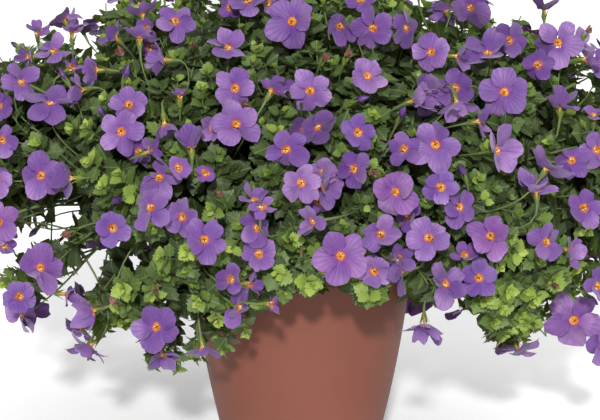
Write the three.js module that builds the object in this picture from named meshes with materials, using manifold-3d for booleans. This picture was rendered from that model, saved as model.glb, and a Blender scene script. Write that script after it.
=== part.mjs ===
// Potted bacopa: a low mound of small toothed leaves, covered with five-lobed violet flowers, in a terracotta pot.
// Millimetres and degrees, +Z up. The origin is the centre of the pot's flat foot, and the front looks along -Y.
import * as THREE from 'three';
import { mergeVertices } from 'three/addons/utils/BufferGeometryUtils.js';
import Module from 'manifold-3d';

// Driving dimensions of the pot and its soil
const potHeight = 116;
const potTopRadius = 60.5;
const potFootRadius = 38.5;
const potBulge = 2.8;
const potWall = 4.5;
const potFloor = 6;
const potSides = 24;
const drainHoleRadius = 3.5;
const drainRingRadius = 20;
const drainHoles = 4;
const potLevels = [0, 26, 52, 78, 104];
const insideMiddle = 52;
const soilTop = 104;
const holeDepth = 16;
const fitGap = 0.3;

// Driving dimensions of the mound of foliage
const moundCentre = 171.7;
const moundHalfWidth = 201;
const moundFrontReach = 150;
const moundBackReach = 175;
const moundRise = 100;
const moundDrop = 125;

// The skirt of trailing shoots: it hangs low all round, and parts in front of the pot
const skirtAngle = 148;
const partingAzimuth = 8;
const partingWidth = 24;
const partingLift = 41;

// Driving dimensions of the shoots, flowers and leaves
const shootRadius = 1.7;
const tipRadius = 2.9;
const stalkRadius = 1;
const stalkRootShare = 0.5;
const hubDepth = 34;
const rootSpacing = 4;
const heartDepth = 40;
const coreSections = [
  { depth: 104, share: 0.12 },
  { depth: 66, share: 0.72 },
  { depth: 38, share: 1 },
  { depth: 23, share: 0.6 },
];
const coreWidest = 31;
const coreSlimmest = 6;
const coreStart = 0.3;
const coreShareOfGap = 0.47;
const throatDepth = 0.16;
const tubeLength = 4;
const neckLength = 7.5;
const straightestNeck = 70;
const petalNotch = 0.6;
const plainNotch = 0.72;
const sideOn = 65;
const shoulderAngle = 21;
const lobeWave = 0.05;
const tubeRadius = 1.5;
const leafLength = 14;
const leafDepth = 6;
const leavesInRosette = 5;
const leafShoulder = 0.72;
const leafCleft = 0.34;
const shortLeaf = 0.8;
const longDroop = -0.2;
const shortRise = 0.08;
const rosettesWanted = 72;

// The photograph's view, in its 600 by 420 frame
const frameWidth = 600;
const frameHeight = 420;
const viewDistance = 1500;
const viewElevation = 12;
const viewAim = new THREE.Vector3(-0.7, 0, 143.9);
const millimetresPerPixel = 0.545;
const sightReach = 260;
const sightStep = 3;

// Small tools for angles, vectors and the seeded draw
const radians = (degrees) => degrees * Math.PI / 180;
const sine = (degrees) => Math.sin(radians(degrees));
const cosine = (degrees) => Math.cos(radians(degrees));
const point = (x, y, z) => new THREE.Vector3(x, y, z);
const between = (a, b, t) => a.clone().lerp(b, t);
const along = (start, direction, distance) => start.clone().addScaledVector(direction, distance);
const directionTo = (from, to) => to.clone().sub(from).normalize();

function seededDraw(seed) {
  let state = seed;
  return () => {
    state = (state * 1664525 + 1013904223) % 4294967296;
    return state / 4294967296;
  };
}

// The camera's own axes
const toCamera = point(0, -cosine(viewElevation), sine(viewElevation));
const viewRight = point(1, 0, 0);
const viewUp = point(0, sine(viewElevation), cosine(viewElevation));
const viewPoint = along(viewAim, toCamera, viewDistance);
const focalPixels = viewDistance / millimetresPerPixel;

// The mound is four quarter ellipsoids: its front and back differ, and so do its top and its skirt
function moundAxes(y, z) {
  return {
    a: moundHalfWidth,
    b: y < 0 ? moundFrontReach : moundBackReach,
    c: z > moundCentre ? moundRise : moundDrop,
  };
}

function moundLevel(p) {
  const { a, b, c } = moundAxes(p.y, p.z);
  return (p.x / a) ** 2 + (p.y / b) ** 2 + ((p.z - moundCentre) / c) ** 2;
}

function moundNormal(p) {
  const { a, b, c } = moundAxes(p.y, p.z);
  return point(p.x / a ** 2, p.y / b ** 2, (p.z - moundCentre) / c ** 2).normalize();
}

// Azimuth 0 is the front, and 90 the right. The polar angle is 0 at the top.
function moundPoint(azimuth, polar) {
  const reach = cosine(azimuth) > 0 ? moundFrontReach : moundBackReach;
  const height = polar < 90 ? moundRise : moundDrop;
  return point(
    moundHalfWidth * sine(polar) * sine(azimuth),
    -reach * sine(polar) * cosine(azimuth),
    moundCentre + height * cosine(polar),
  );
}

function lowestPolar(azimuth) {
  const turn = ((azimuth - partingAzimuth + 540) % 360) - 180;
  return skirtAngle - partingLift * Math.exp(-((turn / partingWidth) ** 2));
}

// Where the line of sight through a pixel meets the mound, or passes nearest to it
function pointSeenAt(u, v) {
  const ray = toCamera.clone().multiplyScalar(-focalPixels);
  ray.addScaledVector(viewRight, u - frameWidth / 2);
  ray.addScaledVector(viewUp, frameHeight / 2 - v);
  ray.normalize();
  const nearest = viewDistance - sightReach;
  const farthest = viewDistance + sightReach;
  let best = nearest;
  let bestLevel = Infinity;
  for (let distance = nearest; distance < farthest; distance += sightStep) {
    const level = moundLevel(along(viewPoint, ray, distance));
    if (level < bestLevel) {
      bestLevel = level;
      best = distance;
    }
    if (level < 1) {
      break;
    }
  }
  return along(viewPoint, ray, best);
}

// One flower as the photograph shows it: its throat, its span, and how far and which way it turns from the viewer.
// All in the photograph's pixels and in degrees; 0 leans to the right and 90 upwards.
const seen = (u, v, span, turn, lean) => ({ u, v, span, turn, lean });

const flowersSeen = [
  // Upper left
  seen(22, 82, 45, 50, 45),
  seen(53, 51, 38, 55, 90),
  seen(28, 57, 28, 70, 180),
  seen(38, 31, 26, 60, 90),
  seen(72, 32, 22, 80, 90),
  seen(72, 68, 20, 70, 0),
  seen(95, 70, 33, 82, 180),
  seen(80, 90, 34, 80, 190),
  seen(50, 102, 56, 66, 90),
  seen(114, 36, 34, 65, 135),
  seen(142, 14, 34, 105, 100),
  seen(140, 38, 34, 105, 90),
  seen(128.6, 105, 38, 12, 90),
  seen(121, 131.5, 46, 10, 0),
  seen(-2, 106, 30, 40, 0),
  seen(2, 140, 34, 15, 180),
  seen(41, 175.5, 47, 15, 120),
  seen(69, 178, 34, 80, 180),
  seen(150, 151, 26, 78, 20),
  seen(159, 177, 46, 30, 90),
  seen(150, 207.5, 48, 25, 160),
  seen(-4, 180, 36, 20, 200),
  seen(-2, 222, 46, 25, 180),
  seen(4, 246, 26, 50, 250),
  seen(112.5, 228, 37, 8, 90),
  // Lower left
  seen(40, 268, 50, 30, 200),
  seen(19.4, 296.4, 35, 10, 270),
  seen(66, 294, 24, 78, 0),
  seen(92, 311, 40, 80, 195),
  seen(90, 346, 34, 85, 220),
  seen(156, 327, 46, 15, 200),
  seen(163, 355, 36, 60, 270),
  seen(203, 349, 34, 85, 280),
  seen(182, 217, 38, 30, 180),
  seen(204.7, 240, 48, 12, 0),
  seen(231, 279, 30, 40, 180),
  seen(250, 284, 26, 72, 0),
  seen(240, 308, 44, 50, 330),
  seen(271, 304, 20, 78, 0),
  seen(259, 254, 36, 25, 0),
  seen(257, 228, 40, 35, 0),
  seen(254, 200, 32, 60, 60),
  // Upper middle
  seen(175, 21, 40, 20, 90),
  seen(163, 60, 35, 80, 180),
  seen(248, 0, 40, 30, 90),
  seen(228, 47, 44, 55, 90),
  seen(292, 21, 53, 12, 90),
  seen(340, 26, 38, 60, 290),
  seen(361, 0, 34, 40, 90),
  seen(373, 28, 44, 20, 0),
  seen(407, 28, 40, 55, 0),
  seen(431, 52, 38, 30, 90),
  seen(458, 56, 28, 80, 0),
  seen(368, 76, 40, 45, 50),
  seen(235, 88, 42, 12, 120),
  seen(236, 124, 48, 18, 200),
  seen(272, 90, 30, 105, 60),
  seen(310, 90.5, 44, 12, 90),
  seen(318, 128, 44, 50, 300),
  seen(180, 95, 20, 80, 90),
  seen(165, 125, 28, 80, 280),
  seen(192, 146, 42, 78, 90),
  seen(205, 173, 20, 40, 60),
  seen(286, 150, 46, 18, 330),
  seen(358, 132.5, 36, 10, 0),
  seen(354, 169, 38, 20, 200),
  seen(301, 183, 42, 25, 200),
  seen(324, 186, 44, 100, 0),
  seen(415, 100, 46, 76, 20),
  // Upper right
  seen(470, 8, 44, 30, 200),
  seen(488, 52, 52, 62, 90),
  seen(509.5, 40, 38, 25, 0),
  seen(544, 8, 44, 95, 90),
  seen(558, 43, 49, 15, 0),
  seen(538, 65, 32, 50, 200),
  seen(587, 60, 24, 78, 0),
  seen(504.5, 91.7, 50, 20, 60),
  seen(427, 94, 42, 35, 180),
  seen(455, 88, 40, 30, 90),
  seen(457, 104, 36, 95, 270),
  seen(480, 121, 30, 80, 10),
  seen(435.5, 144.6, 54, 10, 0),
  seen(404, 149, 36, 25, 200),
  seen(498, 150, 46, 58, 10),
  seen(395, 192, 50, 20, 150),
  seen(441, 187, 34, 12, 180),
  seen(560, 106, 42, 76, 90),
  seen(593, 115, 24, 78, 90),
  seen(571.5, 160, 38, 30, 120),
  seen(546, 168, 42, 110, 60),
  seen(597, 150, 40, 30, 0),
  seen(536, 190, 44, 82, 95),
  seen(460, 207, 40, 35, 20),
  seen(584, 208, 40, 12, 0),
  seen(603, 62, 30, 30, 0),
  // Lower right
  seen(312, 222, 36, 66, 190),
  seen(340.6, 256.2, 54, 12, 270),
  seen(380.8, 234, 42, 15, 60),
  seen(374, 271.6, 36, 12, 240),
  seen(400, 272, 44, 66, 190),
  seen(428.8, 237.5, 48, 10, 90),
  seen(490.4, 236, 49, 10, 90),
  seen(445, 284, 46, 35, 200),
  seen(479, 278, 38, 12, 0),
  seen(465, 255, 30, 68, 90),
  seen(547, 242, 40, 25, 330),
  seen(570, 250, 32, 58, 350),
  seen(598, 286, 38, 35, 0),
  seen(574, 320.5, 60, 10, 270),
  seen(604, 346, 40, 40, 300),
  seen(425, 326, 44, 80, 275),
];

// Flowers on the sides, top and back that the photograph doesn't show: a seeded draw, spaced as the seen ones are
const hiddenFlowers = 105;
const hiddenSpacing = 32;
const hiddenSeed = 41;
const hiddenLean = 38;
const hiddenTries = 6000;
const smallestRadius = 10.5;
const largestRadius = 13.5;
const skirtMargin = 4;
const frameMargin = 8;
const grazing = 0.12;

// Rings of shoots over the mound: polar angle, number of shoots, and the azimuths between which they stand
const shootRings = [
  { polar: 12, count: 2, from: 100, to: 460 },
  { polar: 35, count: 8, from: 20, to: 380 },
  { polar: 57, count: 12, from: 0, to: 360 },
  { polar: 79, count: 12, from: 15, to: 375 },
  { polar: 101, count: 12, from: 0, to: 360 },
  { polar: 128, count: 10, from: 40, to: 364 },
];
const innerHoleRadius = 7;
const outerHoleRadius = 50;
const lipClearance = 5;
const archHeight = 184;
const archReach = 0.42;

// A shoot climbs straight out of its hole, arches over the pot's lip and ends at its place on the mound
function shootRoute(azimuth, polar) {
  const innermost = shootRings[0].polar;
  const outermost = shootRings[shootRings.length - 1].polar;
  const share = (polar - innermost) / (outermost - innermost);
  const holeRadius = innerHoleRadius + (outerHoleRadius - innerHoleRadius) * share;
  const start = point(holeRadius * sine(azimuth), -holeRadius * cosine(azimuth), potHeight + lipClearance);
  const end = moundPoint(azimuth, polar);
  const arch = between(start, end, archReach);
  arch.z = archHeight;
  return new THREE.QuadraticBezierCurve3(start, arch, end);
}

function bend(shoot, turn) {
  const route = shootRoute(shoot.azimuth + turn, shoot.polar);
  return Object.assign(shoot, { route, length: route.getLength() });
}

function shoots() {
  const all = [];
  shootRings.forEach((ring, row) => {
    for (let i = 0; i < ring.count; i += 1) {
      const azimuth = ring.from + (ring.to - ring.from) * i / ring.count;
      const shoot = { flowering: (i + row) % 2 === 1, azimuth, polar: ring.polar };
      all.push(bend(shoot, 0));
    }
  });
  return all;
}

const pointBeforeEnd = (shoot, depth) => shoot.route.getPointAt(1 - Math.min(0.9, depth / shoot.length));

// A ring of points round a centre, square to an axis, starting towards a given side
function ringOf(centre, axis, towards, radius, sides) {
  const first = along(towards, axis, -towards.dot(axis)).normalize();
  const second = axis.clone().cross(first);
  const ring = [];
  for (let i = 0; i < sides; i += 1) {
    const angle = 360 * i / sides;
    ring.push(along(along(centre, first, radius * cosine(angle)), second, radius * sine(angle)));
  }
  return ring;
}

// A closed solid through a row of rings, each end closed by a fan round a tip or, without one, round its first point
function skin(rings, startTip, endTip) {
  const points = [];
  const faces = [];
  const add = (p) => points.push(p) - 1;
  const indices = rings.map((ring) => ring.map(add));
  for (let k = 0; k + 1 < indices.length; k += 1) {
    const a = indices[k];
    const b = indices[k + 1];
    let i = 0;
    let j = 0;
    while (i < a.length || j < b.length) {
      const stepA = (i + 1) * b.length <= (j + 1) * a.length;
      if (stepA) {
        faces.push([a[i % a.length], a[(i + 1) % a.length], b[j % b.length]]);
        i += 1;
      } else {
        faces.push([a[i % a.length], b[(j + 1) % b.length], b[j % b.length]]);
        j += 1;
      }
    }
  }
  const close = (ring, tip, flip) => {
    const hub = tip ? add(tip) : ring[0];
    ring.forEach((current, i) => {
      const next = ring[(i + 1) % ring.length];
      if (hub !== current && hub !== next) {
        faces.push(flip ? [hub, next, current] : [hub, current, next]);
      }
    });
  };
  close(indices[0], startTip, true);
  close(indices[indices.length - 1], endTip, false);
  return { points, faces };
}

function signedVolume({ points, faces }) {
  let sum = 0;
  faces.forEach(([a, b, c]) => {
    sum += points[a].dot(points[b].clone().cross(points[c]));
  });
  return sum / 6;
}

// Solids for joining and cutting
const manifold = await Module();
manifold.setup();

function solidFrom(points, faces) {
  const mesh = new manifold.Mesh({
    numProp: 3,
    vertProperties: new Float32Array(points.flatMap((p) => [p.x, p.y, p.z])),
    triVerts: new Uint32Array(faces.flat()),
  });
  return new manifold.Manifold(mesh);
}

function solidFromSkin(shape) {
  const outward = signedVolume(shape) > 0;
  const faces = outward ? shape.faces : shape.faces.map(([a, b, c]) => [a, c, b]);
  return solidFrom(shape.points, faces);
}

function solidFromGeometry(geometry) {
  geometry.deleteAttribute('normal');
  geometry.deleteAttribute('uv');
  const merged = mergeVertices(geometry, 1e-4);
  const position = merged.getAttribute('position');
  const points = [];
  for (let i = 0; i < position.count; i += 1) {
    points.push(point(position.getX(i), position.getY(i), position.getZ(i)));
  }
  const corners = Array.from(merged.getIndex().array);
  const faces = [];
  for (let i = 0; i < corners.length; i += 3) {
    faces.push(corners.slice(i, i + 3));
  }
  return solidFromSkin({ points, faces });
}

function geometryFromSolid(solid) {
  const mesh = solid.getMesh();
  const geometry = new THREE.BufferGeometry();
  geometry.setAttribute('position', new THREE.BufferAttribute(mesh.vertProperties, 3));
  geometry.setIndex(new THREE.BufferAttribute(mesh.triVerts, 1));
  geometry.computeVertexNormals();
  return geometry;
}

const joined = (solids) => solids.reduce((whole, solid) => whole.add(solid));

// A round stem or branch through a few points, with a radius at each
function stem(points, radii, sides) {
  let side = point(1, 0, 0);
  const rings = points.map((p, i) => {
    const before = i > 0 ? directionTo(points[i - 1], p) : directionTo(p, points[i + 1]);
    const after = i + 1 < points.length ? directionTo(p, points[i + 1]) : before;
    const axis = before.clone().add(after).normalize();
    side = along(side, axis, -side.dot(axis)).normalize();
    return ringOf(p, axis, side, radii[i], sides);
  });
  return skin(rings);
}

// The flowers, with their place, facing, size and the shoot that carries them
function measuredFlowers() {
  return flowersSeen.map(({ u, v, span, turn, lean }, index) => {
    const place = pointSeenAt(u, v);
    const towards = directionTo(place, viewPoint);
    const sideways = viewRight.clone().multiplyScalar(cosine(lean)).addScaledVector(viewUp, sine(lean));
    sideways.addScaledVector(towards, -sideways.dot(towards)).normalize();
    const facing = towards.clone().multiplyScalar(cosine(turn)).addScaledVector(sideways, sine(turn));
    const radius = span / 2 * place.distanceTo(viewPoint) / focalPixels;
    return { place, facing, radius, liftWay: towards, spin: 37 * index, roundLobes: turn < sideOn };
  });
}

function inThePhotograph(p) {
  const ray = p.clone().sub(viewPoint);
  const depth = -ray.dot(toCamera);
  const u = frameWidth / 2 + focalPixels * ray.dot(viewRight) / depth;
  const v = frameHeight / 2 - focalPixels * ray.dot(viewUp) / depth;
  const inFrame = u > -frameMargin && u < frameWidth + frameMargin && v > -frameMargin;
  return inFrame && moundNormal(p).dot(toCamera) > grazing;
}

function drawnFlowers(taken) {
  const draw = seededDraw(hiddenSeed);
  const drawn = [];
  for (let attempt = 0; attempt < hiddenTries && drawn.length < hiddenFlowers; attempt += 1) {
    const azimuth = 360 * draw();
    const polar = (lowestPolar(azimuth) - skirtMargin) * Math.sqrt(draw());
    const leanWay = 360 * draw();
    const leanBy = hiddenLean * draw();
    const radius = smallestRadius + (largestRadius - smallestRadius) * draw();
    const place = moundPoint(azimuth, polar);
    const near = (flower) => flower.place.distanceTo(place) < hiddenSpacing;
    if (inThePhotograph(place) || taken.some(near) || drawn.some(near)) {
      continue;
    }
    const outward = moundNormal(place);
    const level = point(-outward.y, outward.x, 0.01).normalize();
    const climb = outward.clone().cross(level);
    const sideways = level.multiplyScalar(cosine(leanWay)).addScaledVector(climb, sine(leanWay));
    const facing = outward.clone().multiplyScalar(cosine(leanBy)).addScaledVector(sideways, sine(leanBy));
    drawn.push({ place, facing, radius, liftWay: outward, spin: 53 * attempt, roundLobes: false });
  }
  return drawn;
}

// Each flower's stalk leaves the nearest flowering shoot, the farthest flower's lowest down, and never from the side
// that the flower faces
function carryFlowers(flowers, carriers) {
  const leastTurnAway = 0.12;
  const ends = carriers.map((shoot) => pointBeforeEnd(shoot, hubDepth));
  flowers.forEach((flower) => {
    const inner = along(flower.place, moundNormal(flower.place), -hubDepth * 0.7);
    const distances = ends.map((end) => end.distanceTo(inner));
    flower.shoot = carriers[distances.indexOf(Math.min(...distances))];
    flower.reach = Math.min(...distances);
  });
  carriers.forEach((shoot) => {
    const own = flowers.filter((flower) => flower.shoot === shoot);
    own.sort((a, b) => a.reach - b.reach);
    own.forEach((flower, i) => {
      flower.root = pointBeforeEnd(shoot, hubDepth + rootSpacing * i);
    });
    shoot.flowerCount = own.length;
  });
  flowers.forEach((flower) => {
    const toRoot = directionTo(flower.place, flower.root);
    const facingRoot = flower.facing.dot(toRoot);
    if (facingRoot > -leastTurnAway) {
      flower.facing.addScaledVector(toRoot, -facingRoot - leastTurnAway).normalize();
    }
  });
}

// Where a flower's wheel of petals, taken as spokes and a rim, comes too near another flower's wheel or stalk
const wheelPoints = 10;
const wheelGap = 1.6;
const stalkGap = 1.7;
const tubeStart = 3;

function wheelOf(flower) {
  const side = Math.abs(flower.facing.z) < 0.9 ? point(0, 0, 1) : point(1, 0, 0);
  return ringOf(flower.centre, flower.facing, side, flower.radius, wheelPoints);
}

function crossesDisc(a, b, flower, gap) {
  const heightA = a.clone().sub(flower.centre).dot(flower.facing);
  const heightB = b.clone().sub(flower.centre).dot(flower.facing);
  if (heightA * heightB > 0 && Math.min(Math.abs(heightA), Math.abs(heightB)) > gap) {
    return false;
  }
  const nearest = heightA === heightB ? 0.5 : Math.min(1, Math.max(0, heightA / (heightA - heightB)));
  const crossing = between(a, b, nearest);
  return crossing.distanceTo(flower.centre) < flower.radius + gap;
}

function wheelsTouch(one, other) {
  if (one.centre.distanceTo(other.centre) > one.radius + other.radius + wheelGap) {
    return false;
  }
  const touches = (rim, flower, centre) => rim.some((p, i) => (
    crossesDisc(p, rim[(i + 1) % rim.length], flower, wheelGap) || crossesDisc(centre, p, flower, wheelGap)
  ));
  return touches(one.rim, other, one.centre) || touches(other.rim, one, other.centre);
}

const stalkTouches = (one, other) => (
  crossesDisc(along(one.centre, one.facing, -tubeStart), one.root, other, stalkGap)
);

// Flowers that would cross stand one in front of the other, the least lift that clears them first
const lifts = [0, 4, -4, 8, -8, 12, -12, 16, -16, 20];

function partFlowers(flowers) {
  const placed = [];
  flowers.forEach((flower) => {
    let fewest = Infinity;
    let chosen = null;
    lifts.forEach((lift) => {
      if (fewest === 0) {
        return;
      }
      const trial = { ...flower, centre: along(flower.place, flower.liftWay, lift) };
      trial.rim = wheelOf(trial);
      let conflicts = 0;
      placed.forEach((other) => {
        if (wheelsTouch(trial, other) || stalkTouches(trial, other) || stalkTouches(other, trial)) {
          conflicts += 1;
        }
      });
      if (conflicts < fewest) {
        fewest = conflicts;
        chosen = trial;
      }
    });
    placed.push({ ...chosen, conflicts: fewest });
  });
  return placed;
}

// A flower: five broad lobes round a sunken throat, one thin edge, a tube behind, and the stalk down to its shoot.
// A flower that the photograph shows side on, or not at all, has plainer lobes.
function flowerSolid(flower) {
  const { centre, facing, radius, spin, root, roundLobes } = flower;
  const upright = Math.abs(facing.z) < 0.9 ? point(0, 0, 1) : point(1, 0, 0);
  const first = along(upright, facing, -upright.dot(facing)).normalize();
  const second = facing.clone().cross(first);
  const at = (angle, reach, height) => {
    const turned = angle + spin;
    const p = along(centre, first, radius * reach * cosine(turned));
    return along(along(p, second, radius * reach * sine(turned)), facing, radius * height);
  };
  const outline = [];
  for (let lobe = 0; lobe < 5; lobe += 1) {
    const middle = 72 * lobe;
    const wave = lobeWave * cosine(144 * lobe + spin);
    if (roundLobes) {
      outline.push(at(middle - shoulderAngle, 0.98, wave));
      outline.push(at(middle + shoulderAngle, 1, -wave));
      outline.push(at(middle + 36, petalNotch, 0));
    } else {
      outline.push(at(middle, 1, wave));
      outline.push(at(middle + 36, plainNotch, 0));
    }
  }
  const back = along(centre, facing, -tubeLength);
  const neck = along(centre, facing, -neckLength);
  const stalkWay = directionTo(neck, root);
  const bend = stalkWay.clone().sub(facing).normalize();
  const tubeRing = ringOf(back, facing, at(0, 1, 0).sub(centre), tubeRadius, 3);
  const rings = [outline, tubeRing];
  let side = tubeRing[0].clone().sub(back);
  if (stalkWay.dot(facing) > -cosine(straightestNeck)) {
    const neckRing = ringOf(neck, bend.clone().negate(), side, stalkRadius, 3);
    side = neckRing[0].clone().sub(neck);
    rings.push(neckRing);
  }
  rings.push(ringOf(root, stalkWay.clone().negate(), side, stalkRadius * stalkRootShare, 3));
  return solidFromSkin(skin(rings, along(centre, facing, -throatDepth * radius)));
}

// A rosette: toothed leaves spreading from one tip, on a stem sunk into the core it grows from
function rosetteSolid(place, outward, spin, length, root) {
  const upright = Math.abs(outward.z) < 0.9 ? point(0, 0, 1) : point(1, 0, 0);
  const first = along(upright, outward, -upright.dot(outward)).normalize();
  const second = outward.clone().cross(first);
  const at = (angle, reach, height) => {
    const p = along(place, first, length * reach * cosine(angle + spin));
    return along(along(p, second, length * reach * sine(angle + spin)), outward, length * height);
  };
  const outline = [];
  const share = 360 / leavesInRosette;
  for (let leaf = 0; leaf < leavesInRosette; leaf += 1) {
    const middle = share * leaf;
    const even = leaf % 2 === 0;
    const long = even ? 1 : shortLeaf;
    const droop = even ? longDroop : shortRise;
    outline.push(at(middle - share * 0.27, leafShoulder * long, droop * 0.4));
    outline.push(at(middle, long, droop));
    outline.push(at(middle + share * 0.27, leafShoulder * long, droop * 0.4));
    outline.push(at(middle + share * 0.5, leafCleft, 0));
  }
  const back = along(place, outward, -2.4);
  const stemWay = directionTo(back, root);
  const tubeRing = ringOf(back, outward, at(0, 1, 0).sub(place), tubeRadius, 3);
  const side = tubeRing[0].clone().sub(back);
  const rootRing = ringOf(root, stemWay.clone().negate(), side, stalkRadius, 3);
  return solidFromSkin(skin([outline, tubeRing, rootRing], along(place, outward, 0.6)));
}

// The pot: a turned shell with a slightly bulging side, open at the top, its foot pierced round the centre
function potRadiusAt(z) {
  const share = z / potHeight;
  return potFootRadius + (potTopRadius - potFootRadius) * share + potBulge * 4 * share * (1 - share);
}

function turned(profile) {
  const shape = new THREE.LatheGeometry(profile.map(([r, z]) => new THREE.Vector2(r, z)), potSides);
  shape.rotateX(Math.PI / 2);
  return solidFromGeometry(shape);
}

function upright(radius, sides, x, y, bottom, top) {
  const shape = new THREE.CylinderGeometry(radius, radius, top - bottom, sides);
  shape.rotateX(Math.PI / 2);
  shape.rotateZ(Math.PI / 2);
  shape.translate(x, y, (bottom + top) / 2);
  return solidFromGeometry(shape);
}

function potSolid() {
  const outside = potLevels.map((z) => [potRadiusAt(z), z]);
  const lip = [[potRadiusAt(potHeight), potHeight - 1], [potRadiusAt(potHeight) - 1, potHeight]];
  const inside = [potHeight, soilTop, insideMiddle, potFloor].map((z) => [potRadiusAt(z) - potWall, z]);
  let pot = turned([[0, 0], ...outside, ...lip, ...inside, [0, potFloor]]);
  for (let i = 0; i < drainHoles; i += 1) {
    const angle = 360 * (i + 0.5) / drainHoles;
    const x = drainRingRadius * cosine(angle);
    const y = drainRingRadius * sine(angle);
    pot = pot.subtract(upright(drainHoleRadius, 8, x, y, -5, potFloor + 3));
  }
  return pot;
}

// The soil: it fills the pot to below its lip, with a plain hole for each shoot
const shootSides = (shoot) => (shoot.flowering ? 3 : 5);

function soilSolid(allShoots) {
  const clear = potWall + fitGap;
  const bottom = potFloor + fitGap;
  let soil = turned([
    [0, bottom],
    [potRadiusAt(bottom) - clear, bottom],
    [potRadiusAt(insideMiddle) - clear, insideMiddle],
    [potRadiusAt(soilTop) - clear, soilTop],
    [0, soilTop],
  ]);
  allShoots.forEach((shoot) => {
    const start = shoot.route.v0;
    const sides = shootSides(shoot);
    const radius = shootRadius + fitGap / cosine(180 / sides);
    const hole = ringOf(point(start.x, start.y, soilTop - holeDepth), point(0, 0, 1), point(1, 0, 0), radius, sides);
    const mouth = hole.map((p) => point(p.x, p.y, soilTop + 20));
    soil = soil.subtract(solidFromSkin(skin([hole, mouth])));
  });
  return soil;
}

const rootOf = (shoot) => point(shoot.route.v0.x, shoot.route.v0.y, soilTop - holeDepth + fitGap);

function overlaps(boxA, boxB) {
  return [0, 1, 2].every((k) => boxA.min[k] < boxB.max[k] && boxB.min[k] < boxA.max[k]);
}

const crosses = (solid, item) => (
  overlaps(solid.boundingBox(), item.box) && !solid.intersect(item.solid).isEmpty()
);

// A flowering shoot, thickest along the stretch that its flower stalks leave
function floweringShoot(shoot) {
  const stretch = hubDepth + rootSpacing * (shoot.flowerCount - 1);
  const first = Math.max(0.45, 1 - (stretch + 4) / shoot.length);
  const last = 1 - (hubDepth - 3) / shoot.length;
  const steps = [0, 0.3, first, (first + last) / 2, last].map((share) => shoot.route.getPointAt(share));
  const radii = [shootRadius, shootRadius, shootRadius, tipRadius, tipRadius, tipRadius * 0.8];
  return solidFromSkin(stem([rootOf(shoot), ...steps], radii, shootSides(shoot)));
}

// A leafy shoot widens near its end into a core of crowded inner growth, slimmer where a neighbour is close
function leafyShoot(shoot, widest) {
  const shares = coreSections.map(({ depth }) => Math.max(coreStart, 1 - depth / shoot.length));
  const widths = coreSections.map(({ share }) => Math.max(shootRadius, widest * share));
  const points = [0, ...shares].map((share) => shoot.route.getPointAt(share));
  const radii = [shootRadius, shootRadius, ...widths];
  return solidFromSkin(stem([rootOf(shoot), ...points], radii, shootSides(shoot)));
}

const coreTurns = [0, 4, -4, 8, -8, 12, -12];

// A leafy shoot that would cross a neighbour is bent aside until its core has room, and its core is made to fit
function coreThatClears(shoot, widest, others) {
  for (const turn of coreTurns) {
    bend(shoot, turn);
    for (let width = widest; width > coreSlimmest; width -= 2) {
      const guard = leafyShoot(shoot, width + 1);
      if (!others.some((item) => crosses(guard, item))) {
        shoot.coreWidth = width;
        return leafyShoot(shoot, width);
      }
    }
  }
  throw new Error('a leafy shoot finds no room');
}

// Rosettes go where the flowers leave most room, turn by turn on every leafy shoot
const rosetteCandidates = 700;
const rosetteSeed = 7;
const rosetteSpread = 62;
const rosetteRounds = 5;
const rosetteTries = 14;
const flowerRoom = 1.25;
const rosetteRootShare = 0.4;

function rosettePlaces() {
  const draw = seededDraw(rosetteSeed);
  const places = [];
  while (places.length < rosetteCandidates) {
    const azimuth = 360 * draw();
    const polar = lowestPolar(azimuth) * Math.sqrt(draw());
    const surface = moundPoint(azimuth, polar);
    const outward = moundNormal(surface);
    places.push({ place: along(surface, outward, -leafDepth), outward, spin: 360 * draw() });
  }
  return places;
}

function growRosettes(leafy, others) {
  const places = rosettePlaces();
  const taken = [];
  const room = (candidate) => Math.min(
    ...taken.map((p) => p.distanceTo(candidate.place)),
    ...others.filter((item) => item.centre).map((item) => flowerRoom * item.centre.distanceTo(candidate.place)),
  );
  for (let round = 0; taken.length < rosettesWanted && round < rosetteRounds; round += 1) {
    leafy.forEach((shoot) => {
      const within = (candidate) => candidate.place.distanceTo(shoot.tip) < rosetteSpread;
      const near = places.filter((candidate) => !candidate.used && within(candidate));
      near.sort((a, b) => room(b) - room(a));
      for (const candidate of near.slice(0, rosetteTries)) {
        if (taken.length >= rosettesWanted) {
          return;
        }
        const { place, outward, spin } = candidate;
        const root = along(shoot.coreHeart, directionTo(shoot.coreHeart, place), shoot.coreWidth * rosetteRootShare);
        const guard = rosetteSolid(place, outward, spin, leafLength + 1, root);
        const own = (item) => item.owner === shoot;
        if (!others.some((item) => !own(item) && crosses(guard, item))) {
          const solid = rosetteSolid(place, outward, spin, leafLength, root);
          candidate.used = true;
          taken.push(place);
          shoot.solids.push(solid);
          others.push({ solid, box: solid.boundingBox(), owner: shoot });
          return;
        }
      }
    });
  }
}

// Put the plant together
const allShoots = shoots();
const floweringShoots = allShoots.filter((shoot) => shoot.flowering);
const leafyShoots = allShoots.filter((shoot) => !shoot.flowering);
const measured = measuredFlowers();
const allFlowers = [...measured, ...drawnFlowers(measured)];
carryFlowers(allFlowers, floweringShoots);
const flowers = partFlowers(allFlowers);

const neighbours = [];
floweringShoots.forEach((shoot) => {
  shoot.solids = [floweringShoot(shoot)];
  flowers.filter((flower) => flower.shoot === shoot).forEach((flower) => {
    const solid = flowerSolid(flower);
    shoot.solids.push(solid);
    neighbours.push({ solid, box: solid.boundingBox(), centre: flower.centre, owner: shoot });
  });
  neighbours.push({ solid: shoot.solids[0], box: shoot.solids[0].boundingBox(), owner: shoot });
});

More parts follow.
